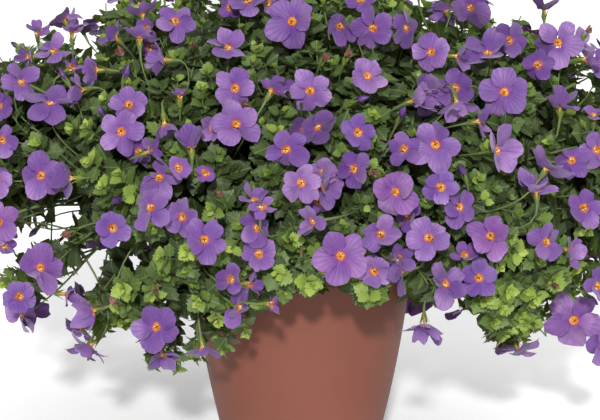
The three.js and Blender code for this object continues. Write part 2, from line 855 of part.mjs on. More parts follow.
const hearts = leafyShoots.map((shoot) => pointBeforeEnd(shoot, heartDepth));
leafyShoots.forEach((shoot, i) => {
  const gaps = hearts.filter((heart) => heart !== hearts[i]).map((heart) => heart.distanceTo(hearts[i]));
  const core = coreThatClears(shoot, Math.min(coreWidest, coreShareOfGap * Math.min(...gaps)), neighbours);
  shoot.coreHeart = pointBeforeEnd(shoot, heartDepth);
  shoot.tip = shoot.route.getPointAt(1);
  shoot.solids = [core];
  neighbours.push({ solid: core, box: core.boundingBox(), owner: shoot });
});
growRosettes(leafyShoots, neighbours);

// Colours from the photograph
const terracotta = new THREE.MeshStandardMaterial({ color: 0x9d6655, roughness: 0.75, metalness: 0 });
const darkSoil = new THREE.MeshStandardMaterial({ color: 0x2e2118, roughness: 1, metalness: 0 });
const leafGreen = new THREE.MeshStandardMaterial({ color: 0x4f7a2e, roughness: 0.6, metalness: 0, flatShading: true });
const violet = new THREE.MeshStandardMaterial({ color: 0xa06ed0, roughness: 0.55, metalness: 0, flatShading: true });

const group = new THREE.Group();

function addPiece(name, solid, material) {
  const mesh = new THREE.Mesh(geometryFromSolid(solid), material);
  mesh.name = name;
  group.add(mesh);
}

const numbered = (name, index) => `${name}_${String(index + 1).padStart(2, '0')}`;

addPiece('pot', potSolid(), terracotta);
addPiece('soil', soilSolid(allShoots), darkSoil);
leafyShoots.forEach((shoot, i) => addPiece(numbered('leafy_stem', i), joined(shoot.solids), leafGreen));
floweringShoots.forEach((shoot, i) => addPiece(numbered('bloom_spray', i), joined(shoot.solids), violet));

export default group;
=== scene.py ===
import math

import bpy
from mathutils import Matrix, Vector
import numpy as np


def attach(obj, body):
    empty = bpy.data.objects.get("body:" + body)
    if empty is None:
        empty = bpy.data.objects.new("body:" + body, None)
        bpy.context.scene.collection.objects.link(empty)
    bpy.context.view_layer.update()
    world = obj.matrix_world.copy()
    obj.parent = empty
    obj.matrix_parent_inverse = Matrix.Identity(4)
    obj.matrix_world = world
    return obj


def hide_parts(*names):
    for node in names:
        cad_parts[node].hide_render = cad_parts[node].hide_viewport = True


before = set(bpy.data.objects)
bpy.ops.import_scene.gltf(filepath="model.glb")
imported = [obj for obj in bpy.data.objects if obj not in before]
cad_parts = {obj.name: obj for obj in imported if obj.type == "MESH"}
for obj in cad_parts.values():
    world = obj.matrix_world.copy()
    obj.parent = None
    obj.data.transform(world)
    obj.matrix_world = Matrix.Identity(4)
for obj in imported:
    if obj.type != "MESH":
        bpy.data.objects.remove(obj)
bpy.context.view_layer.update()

scene = bpy.context.scene

# Sizes are in millimetres here and become metres where a mesh is made
METRES = 0.001

# The pot and its soil
POT_HEIGHT = 116
POT_TOP_RADIUS = 60.5
POT_FOOT_RADIUS = 38.5
POT_BULGE = 2.8
POT_WALL = 4.5
POT_FLOOR = 6
POT_SIDES = 144
LIP_ROUND = 1.2
DRAIN_RADIUS = 3.5
DRAIN_RING = 20
DRAIN_HOLES = 4
SOIL_TOP = 104
HOLE_DEPTH = 16
FIT_GAP = 0.3

# The mound of foliage: four quarter ellipsoids
MOUND_CENTRE = 171.7
MOUND_HALF_WIDTH = 201
MOUND_FRONT = 150
MOUND_BACK = 175
MOUND_RISE = 100
MOUND_DROP = 125
SKIRT_ANGLE = 148
PARTING_AZIMUTH = 8
PARTING_WIDTH = 24
PARTING_LIFT = 41

# The shoots
SHOOT_RADIUS = 1.3
HUB_DEPTH = 34
ROOT_SPACING = 4
SHOOT_RINGS = [(12, 2, 100, 460), (35, 8, 20, 380), (57, 12, 0, 360), (79, 12, 15, 375), (101, 12, 0, 360),
               (128, 10, 40, 364)]
INNER_HOLE = 7
OUTER_HOLE = 50
LIP_CLEARANCE = 5
ARCH_HEIGHT = 184
ARCH_REACH = 0.42
DEEPEST_SHARE = 0.9
HUB_SINK = 0.7


# The photograph's view, in its 600 by 420 frame
FRAME_WIDTH = 600
FRAME_HEIGHT = 420
VIEW_DISTANCE = 1500
VIEW_ELEVATION = 12
MM_PER_PIXEL = 0.545
SIGHT_REACH = 260
SIGHT_STEP = 3
SENSOR_WIDTH = 36


# Angles, vectors and the seeded draw
def sine(degrees):
    return math.sin(math.radians(degrees))


def cosine(degrees):
    return math.cos(math.radians(degrees))


def point(x, y, z):
    return np.array([x, y, z], float)


def unit(v):
    length = np.linalg.norm(v, axis=-1, keepdims=True)
    return v / np.maximum(length, 1e-9)


def dot(a, b):
    return (a * b).sum(axis=-1, keepdims=True)


def square_to(v, axis):
    return unit(v - axis * dot(v, axis))


def seeded_draw(seed):
    state = seed
    while True:
        state = (state * 1664525 + 1013904223) % 4294967296
        yield state / 4294967296


TO_CAMERA = point(0, -cosine(VIEW_ELEVATION), sine(VIEW_ELEVATION))
VIEW_RIGHT = point(1, 0, 0)
VIEW_UP = point(0, sine(VIEW_ELEVATION), cosine(VIEW_ELEVATION))
VIEW_AIM = point(-0.7, 0, 143.9)
VIEW_POINT = VIEW_AIM + TO_CAMERA * VIEW_DISTANCE
FOCAL_PIXELS = VIEW_DISTANCE / MM_PER_PIXEL


def pixel_of(p):
    ray = p - VIEW_POINT
    depth = -(ray @ TO_CAMERA)
    u = FRAME_WIDTH / 2 + FOCAL_PIXELS * (ray @ VIEW_RIGHT) / depth
    v = FRAME_HEIGHT / 2 - FOCAL_PIXELS * (ray @ VIEW_UP) / depth
    return u, v


# The mound
def mound_axes(p):
    b = np.where(p[..., 1] < 0, MOUND_FRONT, MOUND_BACK)
    c = np.where(p[..., 2] > MOUND_CENTRE, MOUND_RISE, MOUND_DROP)
    return b, c


def mound_level(p):
    b, c = mound_axes(p)
    return (p[..., 0] / MOUND_HALF_WIDTH) ** 2 + (p[..., 1] / b) ** 2 + ((p[..., 2] - MOUND_CENTRE) / c) ** 2


def mound_normal(p):
    b, c = mound_axes(p)
    parts = [p[..., 0] / MOUND_HALF_WIDTH ** 2, p[..., 1] / b ** 2, (p[..., 2] - MOUND_CENTRE) / c ** 2]
    return unit(np.stack(parts, axis=-1))


def mound_point(azimuth, polar):
    reach = MOUND_FRONT if cosine(azimuth) > 0 else MOUND_BACK
    height = MOUND_RISE if polar < 90 else MOUND_DROP
    x = MOUND_HALF_WIDTH * sine(polar) * sine(azimuth)
    y = -reach * sine(polar) * cosine(azimuth)
    return point(x, y, MOUND_CENTRE + height * cosine(polar))


def lowest_polar(azimuth):
    turn = ((azimuth - PARTING_AZIMUTH + 540) % 360) - 180
    return SKIRT_ANGLE - PARTING_LIFT * math.exp(-((turn / PARTING_WIDTH) ** 2))


def point_seen_at(u, v):
    ray = -TO_CAMERA * FOCAL_PIXELS
    ray = ray + VIEW_RIGHT * (u - FRAME_WIDTH / 2) + VIEW_UP * (FRAME_HEIGHT / 2 - v)
    ray = unit(ray)
    distances = np.arange(VIEW_DISTANCE - SIGHT_REACH, VIEW_DISTANCE + SIGHT_REACH, SIGHT_STEP)
    levels = mound_level(VIEW_POINT + ray * distances[:, None])
    inside = np.nonzero(levels < 1)[0]
    best = inside[0] if len(inside) else int(np.argmin(levels))
    return VIEW_POINT + ray * distances[best]


# The flowers as the photograph shows them, in its pixels and in degrees: throat, span, turn from the viewer,
# the way it turns (0 to the right, 90 up), and its tone: m mid, d deep (painted shade, for flowers in shade),
# b blue, p pale, k pink
FLOWERS_SEEN = [
    # Upper left
    (22, 82, 45, 50, 45, "m"), (53, 51, 38, 55, 90, "m"), (28, 57, 28, 70, 180, "d"),
    (38, 31, 26, 60, 90, "m"), (72, 32, 22, 80, 90, "m"), (72, 68, 20, 70, 0, "m"),
    (95, 70, 33, 82, 180, "m"), (80, 90, 34, 80, 190, "m"), (50, 102, 56, 66, 90, "m"),
    (114, 36, 34, 65, 135, "m"), (142, 14, 34, 105, 100, "m"), (140, 38, 34, 105, 90, "m"),
    (128.6, 105, 38, 12, 90, "m"), (121, 131.5, 46, 10, 0, "m"), (-2, 106, 30, 40, 0, "d"),
    (2, 140, 34, 15, 180, "m"), (41, 175.5, 47, 15, 120, "m"), (69, 178, 34, 80, 180, "d"),
    (150, 151, 26, 78, 20, "m"), (159, 177, 46, 30, 90, "m"), (150, 207.5, 48, 25, 160, "m"),
    (-4, 180, 36, 20, 200, "p"), (-2, 222, 46, 25, 180, "k"), (4, 246, 26, 50, 250, "m"),
    (112.5, 228, 37, 8, 90, "b"),
    # Lower left
    (40, 268, 50, 30, 200, "k"), (19.4, 296.4, 35, 10, 270, "b"), (66, 294, 24, 78, 0, "m"),
    (92, 311, 40, 80, 195, "m"), (90, 346, 34, 85, 220, "m"), (156, 327, 46, 15, 200, "m"),
    (163, 355, 36, 60, 270, "d"), (203, 349, 34, 85, 280, "m"), (182, 217, 38, 30, 180, "d"),
    (204.7, 240, 48, 12, 0, "m"), (231, 279, 30, 40, 180, "d"), (250, 284, 26, 72, 0, "m"),
    (240, 308, 44, 50, 330, "m"), (271, 304, 20, 78, 0, "m"), (259, 254, 36, 25, 0, "m"),
    (257, 228, 40, 35, 0, "m"), (254, 200, 32, 60, 60, "m"),
    # Upper middle
    (175, 21, 40, 20, 90, "m"), (163, 60, 35, 80, 180, "m"), (248, 0, 40, 30, 90, "m"),
    (228, 47, 44, 55, 90, "m"), (292, 21, 53, 12, 90, "m"), (340, 26, 38, 60, 290, "m"),
    (361, 0, 34, 40, 90, "m"), (373, 28, 44, 20, 0, "m"), (407, 28, 40, 55, 0, "d"),
    (431, 52, 38, 30, 90, "m"), (458, 56, 28, 80, 0, "m"), (368, 76, 40, 45, 50, "p"),
    (235, 88, 42, 12, 120, "m"), (236, 124, 48, 18, 200, "m"), (272, 90, 30, 105, 60, "m"),
    (310, 90.5, 44, 12, 90, "m"), (318, 128, 44, 50, 300, "d"), (180, 95, 20, 80, 90, "m"),
    (165, 125, 28, 80, 280, "d"), (192, 146, 42, 78, 90, "m"), (205, 173, 20, 40, 60, "m"),
    (286, 150, 46, 18, 330, "m"), (358, 132.5, 36, 10, 0, "b"), (354, 169, 38, 20, 200, "d"),
    (301, 183, 42, 25, 200, "p"), (324, 186, 44, 100, 0, "p"), (415, 100, 46, 76, 20, "m"),
    # Upper right
    (470, 8, 44, 30, 200, "m"), (488, 52, 52, 62, 90, "m"), (509.5, 40, 38, 25, 0, "d"),
    (544, 8, 44, 95, 90, "m"), (558, 43, 49, 15, 0, "m"), (538, 65, 32, 50, 200, "d"),
    (587, 60, 24, 78, 0, "k"), (504.5, 91.7, 50, 20, 60, "m"), (427, 94, 42, 35, 180, "d"),
    (455, 88, 40, 30, 90, "d"), (457, 104, 36, 95, 270, "p"), (480, 121, 30, 80, 10, "m"),
    (435.5, 144.6, 54, 10, 0, "m"), (404, 149, 36, 25, 200, "m"), (498, 150, 46, 58, 10, "p"),
    (395, 192, 50, 20, 150, "k"), (441, 187, 34, 12, 180, "b"), (560, 106, 42, 76, 90, "m"),
    (593, 115, 24, 78, 90, "m"), (571.5, 160, 38, 30, 120, "m"), (546, 168, 42, 110, 60, "d"),
    (597, 150, 40, 30, 0, "p"), (536, 190, 44, 82, 95, "m"), (460, 207, 40, 35, 20, "m"),
    (584, 208, 40, 12, 0, "m"), (603, 62, 30, 30, 0, "m"),
    # Lower right
    (312, 222, 36, 66, 190, "p"), (340.6, 256.2, 54, 12, 270, "k"), (380.8, 234, 42, 15, 60, "p"),
    (374, 271.6, 36, 12, 240, "p"), (400, 272, 44, 66, 190, "d"), (428.8, 237.5, 48, 10, 90, "m"),
    (490.4, 236, 49, 10, 90, "k"), (445, 284, 46, 35, 200, "d"), (479, 278, 38, 12, 0, "b"),
    (465, 255, 30, 68, 90, "m"), (547, 242, 40, 25, 330, "p"), (570, 250, 32, 58, 350, "p"),
    (598, 286, 38, 35, 0, "m"), (574, 320.5, 60, 10, 270, "k"), (604, 346, 40, 40, 300, "m"),
    (425, 326, 44, 80, 275, "m"),
]

# Flowers half hidden behind those above
HINDMOST_SEEN = [
    (213, 127, 30, 35, 200, "p"), (231, 106, 26, 20, 90, "m"), (277, 88, 30, 62, 90, "m"),
    (147, 29, 26, 40, 30, "d"), (230, 7, 26, 30, 180, "m"), (268, 4, 26, 40, 0, "p"),
    (304, 129, 34, 35, 250, "d"), (139, 152, 30, 30, 200, "m"), (178, 168, 26, 35, 20, "p"),
    (323, 172, 32, 40, 60, "p"), (319, 201, 26, 30, 0, "m"), (408, 216, 30, 25, 180, "m"),
    (399, 259, 32, 40, 0, "d"), (262, 207, 28, 55, 80, "m"), (150, 48, 22, 50, 300, "d"),
    (446, 96, 30, 40, 0, "d"),
]
HINDMOST_DEPTH = 6

# Withered flowers, closed dark buds, and gaps where the white ground shows through: pixels, and a gap's
# half-size
WITHERED_SEEN = [(323, 59), (347, 55), (193, 43), (118, 50), (66, 235), (113, 298), (155, 288), (553, 285),
                 (588, 30), (248, 107), (219, 197), (378, 172)]
BUDS_SEEN = [(125, 73), (62, 73), (402, 113), (360, 98), (100, 110), (463, 172), (116, 200)]
GAPS_SEEN = [(206, 9, 4, 5), (85, 42, 10, 9), (36, 117, 6, 6), (18, 122, 6, 5), (142, 80, 6, 6),
             (125, 157, 8, 6), (397, 54, 6, 6), (442, 14, 8, 8), (585, 85, 8, 8), (62, 220, 13, 28),
             (38, 236, 20, 9), (576, 176, 11, 8), (590, 255, 8, 8), (136, 260, 9, 11), (88, 276, 13, 14),
             (168, 301, 5, 6), (188, 328, 7, 18), (409, 313, 5, 9), (100, 248, 20, 10)]

# Flowers on the sides, top and back: a seeded draw
HIDDEN_FLOWERS = 105
HIDDEN_SPACING = 32
HIDDEN_SEED = 41
HIDDEN_LEAN = 38
HIDDEN_TRIES = 6000
SMALLEST_RADIUS = 10.5
LARGEST_RADIUS = 13.5
SKIRT_MARGIN = 4
FRAME_MARGIN = 8
GRAZING = 0.12
LEAST_TURN_AWAY = 0.12
LIFTS = [0, 4, -4, 8, -8, 12, -12, 16, -16, 20]
# The drawn flowers' tones include d, the dark violet painted as shade
HIDDEN_TONES = "mmdmpmbmkm"
SEEN_SPIN = 37
HIDDEN_SPIN = 53
WHEEL_POINTS = 10
WHEEL_GAP = 1.6
STALK_GAP = 1.7
TUBE_START = 3

# Curves and paths
def curve_through(start, arch, end, t):
    """Places at these shares of a curve from start to end that bends towards arch."""
    t = np.asarray(t, float)[..., None]
    return start * (1 - t) ** 2 + arch * 2 * t * (1 - t) + end * t ** 2


def walked_along(path):
    """How far along the path each of its points lies."""
    return np.concatenate([[0], np.cumsum(np.linalg.norm(np.diff(path, axis=0), axis=1))])


def places_on(path, marks, at):
    """Places on a path, at values between the marks of its points."""
    return np.stack([np.interp(at, marks, path[:, k]) for k in range(3)], axis=-1)


# A shoot's route: a curve of three points, walked at even steps
class Route:
    STEPS = 200

    def __init__(self, azimuth, polar):
        innermost = SHOOT_RINGS[0][0]
        outermost = SHOOT_RINGS[-1][0]
        share = (polar - innermost) / (outermost - innermost)
        hole = INNER_HOLE + (OUTER_HOLE - INNER_HOLE) * share
        self.start = point(hole * sine(azimuth), -hole * cosine(azimuth), POT_HEIGHT + LIP_CLEARANCE)
        self.end = mound_point(azimuth, polar)
        self.arch = self.start + (self.end - self.start) * ARCH_REACH
        self.arch[2] = ARCH_HEIGHT
        self.shares = np.linspace(0, 1, self.STEPS + 1)
        self.walked = walked_along(self.curve(self.shares))
        self.length = self.walked[-1]

    def curve(self, t):
        return curve_through(self.start, self.arch, self.end, t)

    def at(self, share):
        return self.curve(np.interp(np.asarray(share) * self.length, self.walked, self.shares))

    def before_end(self, depth):
        return self.at(1 - min(DEEPEST_SHARE, depth / self.length))


def all_shoots():
    found = []
    for row, (polar, count, start, stop) in enumerate(SHOOT_RINGS):
        for i in range(count):
            azimuth = start + (stop - start) * i / count
            found.append({"flowering": (i + row) % 2 == 1, "route": Route(azimuth, polar)})
    return found


# The flowers, placed where the line of sight meets the mound, or drawn
def measured_flowers(rows):
    flowers = []
    for index, (u, v, span, turn, lean, tone) in enumerate(rows):
        place = point_seen_at(u, v)
        towards = unit(VIEW_POINT - place)
        sideways = square_to(VIEW_RIGHT * cosine(lean) + VIEW_UP * sine(lean), towards)
        facing = towards * cosine(turn) + sideways * sine(turn)
        radius = span / 2 * np.linalg.norm(VIEW_POINT - place) / FOCAL_PIXELS
        flowers.append({"place": place, "facing": facing, "radius": radius, "lift_way": towards,
                        "spin": SEEN_SPIN * index, "tone": tone, "turned": turn, "seen": True})
    return flowers


def in_the_photograph(p):
    u, v = pixel_of(p)
    in_frame = -FRAME_MARGIN < u < FRAME_WIDTH + FRAME_MARGIN and v > -FRAME_MARGIN
    return in_frame and mound_normal(p) @ TO_CAMERA > GRAZING


def drawn_flowers(taken):
    draw = seeded_draw(HIDDEN_SEED)
    drawn = []
    for attempt in range(HIDDEN_TRIES):
        if len(drawn) >= HIDDEN_FLOWERS:
            break
        azimuth = 360 * next(draw)
        polar = (lowest_polar(azimuth) - SKIRT_MARGIN) * math.sqrt(next(draw))
        lean_way = 360 * next(draw)
        lean_by = HIDDEN_LEAN * next(draw)
        radius = SMALLEST_RADIUS + (LARGEST_RADIUS - SMALLEST_RADIUS) * next(draw)
        place = mound_point(azimuth, polar)
        others = np.array([flower["place"] for flower in taken + drawn])
        nearest = np.linalg.norm(others - place, axis=1).min()
        if in_the_photograph(place) or nearest < HIDDEN_SPACING:
            continue
        outward = mound_normal(place)
        level = unit(point(-outward[1], outward[0], 0.01))
        climb = np.cross(outward, level)
        sideways = level * cosine(lean_way) + climb * sine(lean_way)
        facing = outward * cosine(lean_by) + sideways * sine(lean_by)
        drawn.append({"place": place, "facing": facing, "radius": radius, "lift_way": outward,
                      "spin": HIDDEN_SPIN * attempt, "tone": HIDDEN_TONES[len(drawn) % len(HIDDEN_TONES)],
                      "turned": 0, "seen": False})
    return drawn


def carry_flowers(flowers):
    """Each flower hangs on the flowering shoot that ends nearest below it, and faces away from its root."""
    for flower in flowers:
        inner = flower["place"] - mound_normal(flower["place"]) * HUB_DEPTH * HUB_SINK
        distances = np.linalg.norm(hub_ends - inner, axis=1)
        flower["shoot"] = int(np.argmin(distances))
        flower["reach"] = float(distances.min())
    for number, shoot in enumerate(flowering_shoots):
        own = sorted((f for f in flowers if f["shoot"] == number), key=lambda f: f["reach"])
        for i, flower in enumerate(own):
            flower["root"] = shoot["route"].before_end(HUB_DEPTH + ROOT_SPACING * i)
    for flower in flowers:
        to_root = unit(flower["root"] - flower["place"])
        facing_root = float(flower["facing"] @ to_root)
        if facing_root > -LEAST_TURN_AWAY:
            flower["facing"] = unit(flower["facing"] + to_root * (-facing_root - LEAST_TURN_AWAY))


def plane_axes(facing):
    helper = point(0, 0, 1) if abs(facing[2]) < 0.9 else point(1, 0, 0)
    first = square_to(helper, facing)
    return first, np.cross(facing, first)


def wheel_of(flower):
    first, second = plane_axes(flower["facing"])
    angles = np.radians(360 * np.arange(WHEEL_POINTS) / WHEEL_POINTS)[:, None]
    return flower["centre"] + flower["radius"] * (first * np.cos(angles) + second * np.sin(angles))


def crosses_disc(a, b, flower, gap):
    height_a = (a - flower["centre"]) @ flower["facing"]
    height_b = (b - flower["centre"]) @ flower["facing"]
    same_side = (height_a * height_b > 0) & (np.minimum(abs(height_a), abs(height_b)) > gap)
    apart = height_a - height_b
    safe = np.where(apart == 0, 1, apart)
    share = np.where(apart == 0, 0.5, np.clip(height_a / safe, 0, 1))[..., None]
    crossing = a + (b - a) * share
    near = np.linalg.norm(crossing - flower["centre"], axis=-1) < flower["radius"] + gap
    return bool(np.any(near & ~same_side))


def wheels_touch(one, other):
    reach = one["radius"] + other["radius"] + WHEEL_GAP
    if np.linalg.norm(one["centre"] - other["centre"]) > reach:
        return False
    for a, b in ((one, other), (other, one)):
        rim = a["rim"]
        if crosses_disc(rim, np.roll(rim, -1, axis=0), b, WHEEL_GAP):
            return True
        if crosses_disc(np.broadcast_to(a["centre"], rim.shape), rim, b, WHEEL_GAP):
            return True
    return False


def stalk_touches(one, other):
    start = one["centre"] - one["facing"] * TUBE_START
    return crosses_disc(start, one["root"], other, STALK_GAP)


def part_flowers(flowers):
    placed = []
    for flower in flowers:
        fewest = None
        for lift in LIFTS:
            trial = dict(flower, centre=flower["place"] + flower["lift_way"] * lift)
            trial["rim"] = wheel_of(trial)
            conflicts = sum(
                wheels_touch(trial, other) or stalk_touches(trial, other) or stalk_touches(other, trial)
                for other in placed
            )
            if fewest is None or conflicts < fewest:
                fewest = conflicts
                chosen = trial
            if fewest == 0:
                break
        placed.append(chosen)
    return placed


def hindmost_flowers():
    found = measured_flowers(HINDMOST_SEEN)
    for flower in found:
        flower["place"] = flower["place"] - flower["lift_way"] * HINDMOST_DEPTH
        flower["hindmost"] = True
    carry_flowers(found)
    return found


shoots = all_shoots()
flowering_shoots = [shoot for shoot in shoots if shoot["flowering"]]
leafy_shoots = [shoot for shoot in shoots if not shoot["flowering"]]
hub_ends = np.array([shoot["route"].before_end(HUB_DEPTH) for shoot in flowering_shoots])
seen_flowers = measured_flowers(FLOWERS_SEEN)
flowers = seen_flowers + drawn_flowers(seen_flowers)
carry_flowers(flowers)
flowers = part_flowers(flowers + hindmost_flowers())

# The numbers of the materials within a green piece and within a piece of petals
LEAF_PART, STEM_PART = range(2)
PETAL_PART, TUBE_PART, STAMEN_PART, WITHERED_PART, BUD_PART = range(5)


def placed_object(name, data):
    made = bpy.data.objects.new(name, data)
    scene.collection.objects.link(made)
    return made


# A mesh that grows: points, faces, a material number for each face, and values for the materials at
# each point
# One of these values carries a leaf's age with painted shade, or a petal's tone
class Growing:
    def __init__(self):
        self.points = []
        self.faces = []
        self.slots = []
        self.marks = []
        self.tone_age_and_painted_shade_values = []
        self.count = 0

    def add(self, points, faces, slot, marks, tone_age_and_painted_shade_values):
        points = points.reshape(-1, 3)
        self.points.append(points)
        self.faces.append(faces.reshape(-1, 3) + self.count)
        self.slots.append(np.full(len(faces.reshape(-1, 3)), slot, np.int32))
        self.marks.append(np.broadcast_to(marks, points.shape).reshape(-1, 3))
        self.tone_age_and_painted_shade_values.append(np.broadcast_to(tone_age_and_painted_shade_values, (len(points),)))
        self.count += len(points)

    def copies(self, points, faces, slot, marks, tone_age_and_painted_shade_values):
        """points is (copies, points of one, 3), and each copy has the same faces."""
        many, each = points.shape[:2]
        steps = (np.arange(many) * each)[:, None, None]
        self.add(points, faces[None] + steps, slot, marks, tone_age_and_painted_shade_values)

    def finish(self, name, materials, replaced, slot):
        points = np.concatenate(self.points) * METRES
        faces = np.concatenate(self.faces)
        mesh = bpy.data.meshes.new(name)
        mesh.vertices.add(len(points))
        mesh.vertices.foreach_set("co", points.astype(np.float32).ravel())
        mesh.loops.add(faces.size)
        mesh.loops.foreach_set("vertex_index", faces.astype(np.int32).ravel())
        mesh.polygons.add(len(faces))
        mesh.polygons.foreach_set("loop_start", np.arange(0, faces.size, 3, dtype=np.int32))
        mesh.update(calc_edges=True)
        for material in materials:
            mesh.materials.append(material)
        mesh.polygons.foreach_set("material_index", np.concatenate(self.slots))
        mesh.polygons.foreach_set("use_smooth", np.ones(len(faces), bool))
        for layer, kind, field, values in (("marks", "FLOAT_VECTOR", "vector", self.marks),
                                           ("age_tone_and_painted_shade", "FLOAT", "value", self.tone_age_and_painted_shade_values)):
            made = mesh.attributes.new(layer, kind, "POINT")
            made.data.foreach_set(field, np.concatenate(values).astype(np.float32).ravel())
        mesh.validate()
        piece = placed_object(name, mesh)
        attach(piece, "root")
        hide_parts(*replaced)


def grid_faces(rows, columns, closed=False):
    faces = []
    across = columns if closed else columns - 1
    for i in range(rows - 1):
        for j in range(across):
            a = i * columns + j
            b = i * columns + (j + 1) % columns
            c = a + columns
            d = b + columns
            faces.append((a, b, d))
            faces.append((a, d, c))
    return np.array(faces)


TUBE_SIDEWAYS = point(0.31, 0.95, 0.05)


def angles_round(sides):
    return 2 * math.pi * np.arange(sides) / sides


def ring(radius, height, angles):
    """A level ring of points, whose radius may change from angle to angle."""
    level = np.full(len(angles), height)
    return np.stack([radius * np.cos(angles), radius * np.sin(angles), level], axis=-1)


def turned(profile, sides):
    """A profile of radii and heights, turned about the upright axis."""
    angles = angles_round(sides)
    points = np.concatenate([ring(radius, height, angles) for radius, height in profile])
    return points, grid_faces(len(profile), sides, closed=True)


def tube_points(path, radii, sides):
    path = np.asarray(path, float)
    ways = unit(np.gradient(path, axis=0))
    side = square_to(TUBE_SIDEWAYS, ways[0])
    angles = angles_round(sides)[:, None]
    rings = []
    for centre, way, radius in zip(path, ways, radii):
        side = square_to(side, way)
        other = np.cross(way, side)
        rings.append(centre + radius * (side * np.cos(angles) + other * np.sin(angles)))
    return np.array(rings)


def tubes_through(paths, radii, sides):
    """Many tubes at once: paths is (tubes, steps, 3)."""
    ways = unit(np.gradient(paths, axis=1))
    side = square_to(np.broadcast_to(TUBE_SIDEWAYS, ways.shape), ways)
    other = np.cross(ways, side)
    angles = angles_round(sides)[None, None, :, None]
    rim = side[:, :, None] * np.cos(angles) + other[:, :, None] * np.sin(angles)
    points = paths[:, :, None] + rim * radii[None, :, None, None]
    return points.reshape(len(paths), -1, 3)


# One flower
SHAPE_SEED = 5
LOBES = 5
LOBE_ANGLE = 72
LOBE_ROWS = 9
LOBE_COLUMNS = 11
LOBE_MIDDLE = 0.55
LOBE_REACH = 0.45
NOTCH_WIDTH = 0.2
SCALLOP = 0.03
FINE_SCALLOP = 0.014
CREASE_DEPTH = 0.03
CREASE_WIDTH = 0.18
THROAT_SHARE = 0.13
FUNNEL_DEPTH = 0.07
FUNNEL_WIDTH = 0.1
TUBE_SIDES = 12
TUBE_RADIUS = 0.95
FLOWER_TUBE = 6.2
STAMENS = 4
STAMEN_RADII = [0.2, 0.4, 0.58, 0.2]
CUPPED_TURN = 55
RAISED_TURN = 68
PITCHED_SHARE = 0.27
UPWARD_PITCH = 12
# Tone d is painted shade: a dark violet for flowers that lie in shade
TONE_VALUES = {"m": 0.5, "d": 0.0, "b": 1.0, "p": 2.0, "k": 3.0}
LOBE_TILT = 0.065

# How each lobe's shape varies, from least to most
LOBE_RANGES = {
    "swing": (122, 140), "width": (-0.04, 0.04), "notch": (-0.04, 0.14), "fold": (-0.1, 0.08),
    "notch_at": (-0.18, 0.18), "wave": (0, 6.3), "cup": (-0.14, 0.14), "curl": (-1.5, 0.8),
    "ruffle": (0.035, 0.095),
}
draw_shape = np.random.default_rng(SHAPE_SEED)
vary = draw_shape.uniform
lobe_faces = grid_faces(LOBE_ROWS, LOBE_COLUMNS)


def drawn_lobe(ranges, **fixed):
    return {key: vary(*limits) for key, limits in ranges.items()} | fixed


def lobe_points(radius, shape):
    """One lobe along +x in the flower's own plane, its face towards +z."""
    s = np.linspace(0, 1, LOBE_ROWS)[:, None]
    t = np.linspace(-1, 1, LOBE_COLUMNS)[None, :]
    swing = np.radians(shape["swing"]) * t
    notch = shape["notch"] * np.exp(-((t - shape["notch_at"]) / NOTCH_WIDTH) ** 2)
    scallop = SCALLOP * np.sin(shape["wave"] + 7 * t) + FINE_SCALLOP * np.sin(2 * shape["wave"] + 15 * t)
    outer_x = (LOBE_MIDDLE + LOBE_REACH * np.cos(swing)) * (1 - notch + scallop)
    outer_y = shape["width"] * np.sin(swing)
    inner_x = THROAT_SHARE * np.cos(np.radians(LOBE_ANGLE / 2) * t)
    inner_y = THROAT_SHARE * np.sin(np.radians(LOBE_ANGLE / 2) * t)
    share = s ** 0.9
    x = inner_x + (outer_x - inner_x) * share
    y = inner_y + (outer_y - inner_y) * share
    out = np.hypot(x, y)
    rise = shape["cup"] * out ** 2 + shape["curl"] * np.clip(out - 0.7, 0, 1) ** 2
    funnel = -FUNNEL_DEPTH * np.exp(-((out - THROAT_SHARE) / FUNNEL_WIDTH) ** 2)
    crease = -CREASE_DEPTH * np.exp(-(t / CREASE_WIDTH) ** 2) * s * (1 - 0.5 * s)
    overlap = shape["tilt"] * t * np.sin(math.pi * np.clip(s, 0, 0.85))
    fold = shape["fold"] * np.abs(t) ** 1.5 * s
    ruffle = shape["ruffle"] * s ** 2 * np.sin(shape["wave"] + 5.5 * t)
    z = rise + funnel + crease + overlap + fold + ruffle
    points = np.stack([x, y, z], axis=-1) * radius
    marks = np.stack([out * radius, np.broadcast_to(t, out.shape), out], axis=-1)
    return points, marks


def rotated(points, axis, degrees):
    """Points turned about an axis through the origin."""
    one, other = [(1, 2), (2, 0), (0, 1)][axis]
    result = points.copy()
    result[..., one] = points[..., one] * cosine(degrees) - points[..., other] * sine(degrees)
    result[..., other] = points[..., one] * sine(degrees) + points[..., other] * cosine(degrees)
    return result


def flower_frame(flower):
    first, second = plane_axes(flower["facing"])
    spin = math.radians(flower["spin"])
    x_axis = first * math.cos(spin) + second * math.sin(spin)
    y_axis = np.cross(flower["facing"], x_axis)
    return np.stack([x_axis, y_axis, flower["facing"]])


# The sepals, from foot to tip: share of the length and half-width
SEPAL_ROWS = [(0, 0.45), (0.35, 0.75), (0.7, 0.5), (1, 0.05)]
SEPAL_MARKS = [0.2, 0.45, 0.7, 0.95]
SEPAL_FOOT = 0.9
SEPAL_DROP = 0.4
SEPAL_LENGTH = 5.4
SEPAL_KEEL = 0.18
SEPAL_AGE = 0.35
STEM_AGE = 0.4
STALK_STEPS = 9
STALK_BEND = 0.38
STALK_RADII = np.concatenate([[0.95, 0.6], np.linspace(0.42, 0.6, STALK_STEPS - 2)])
STALK_SIDES = 5


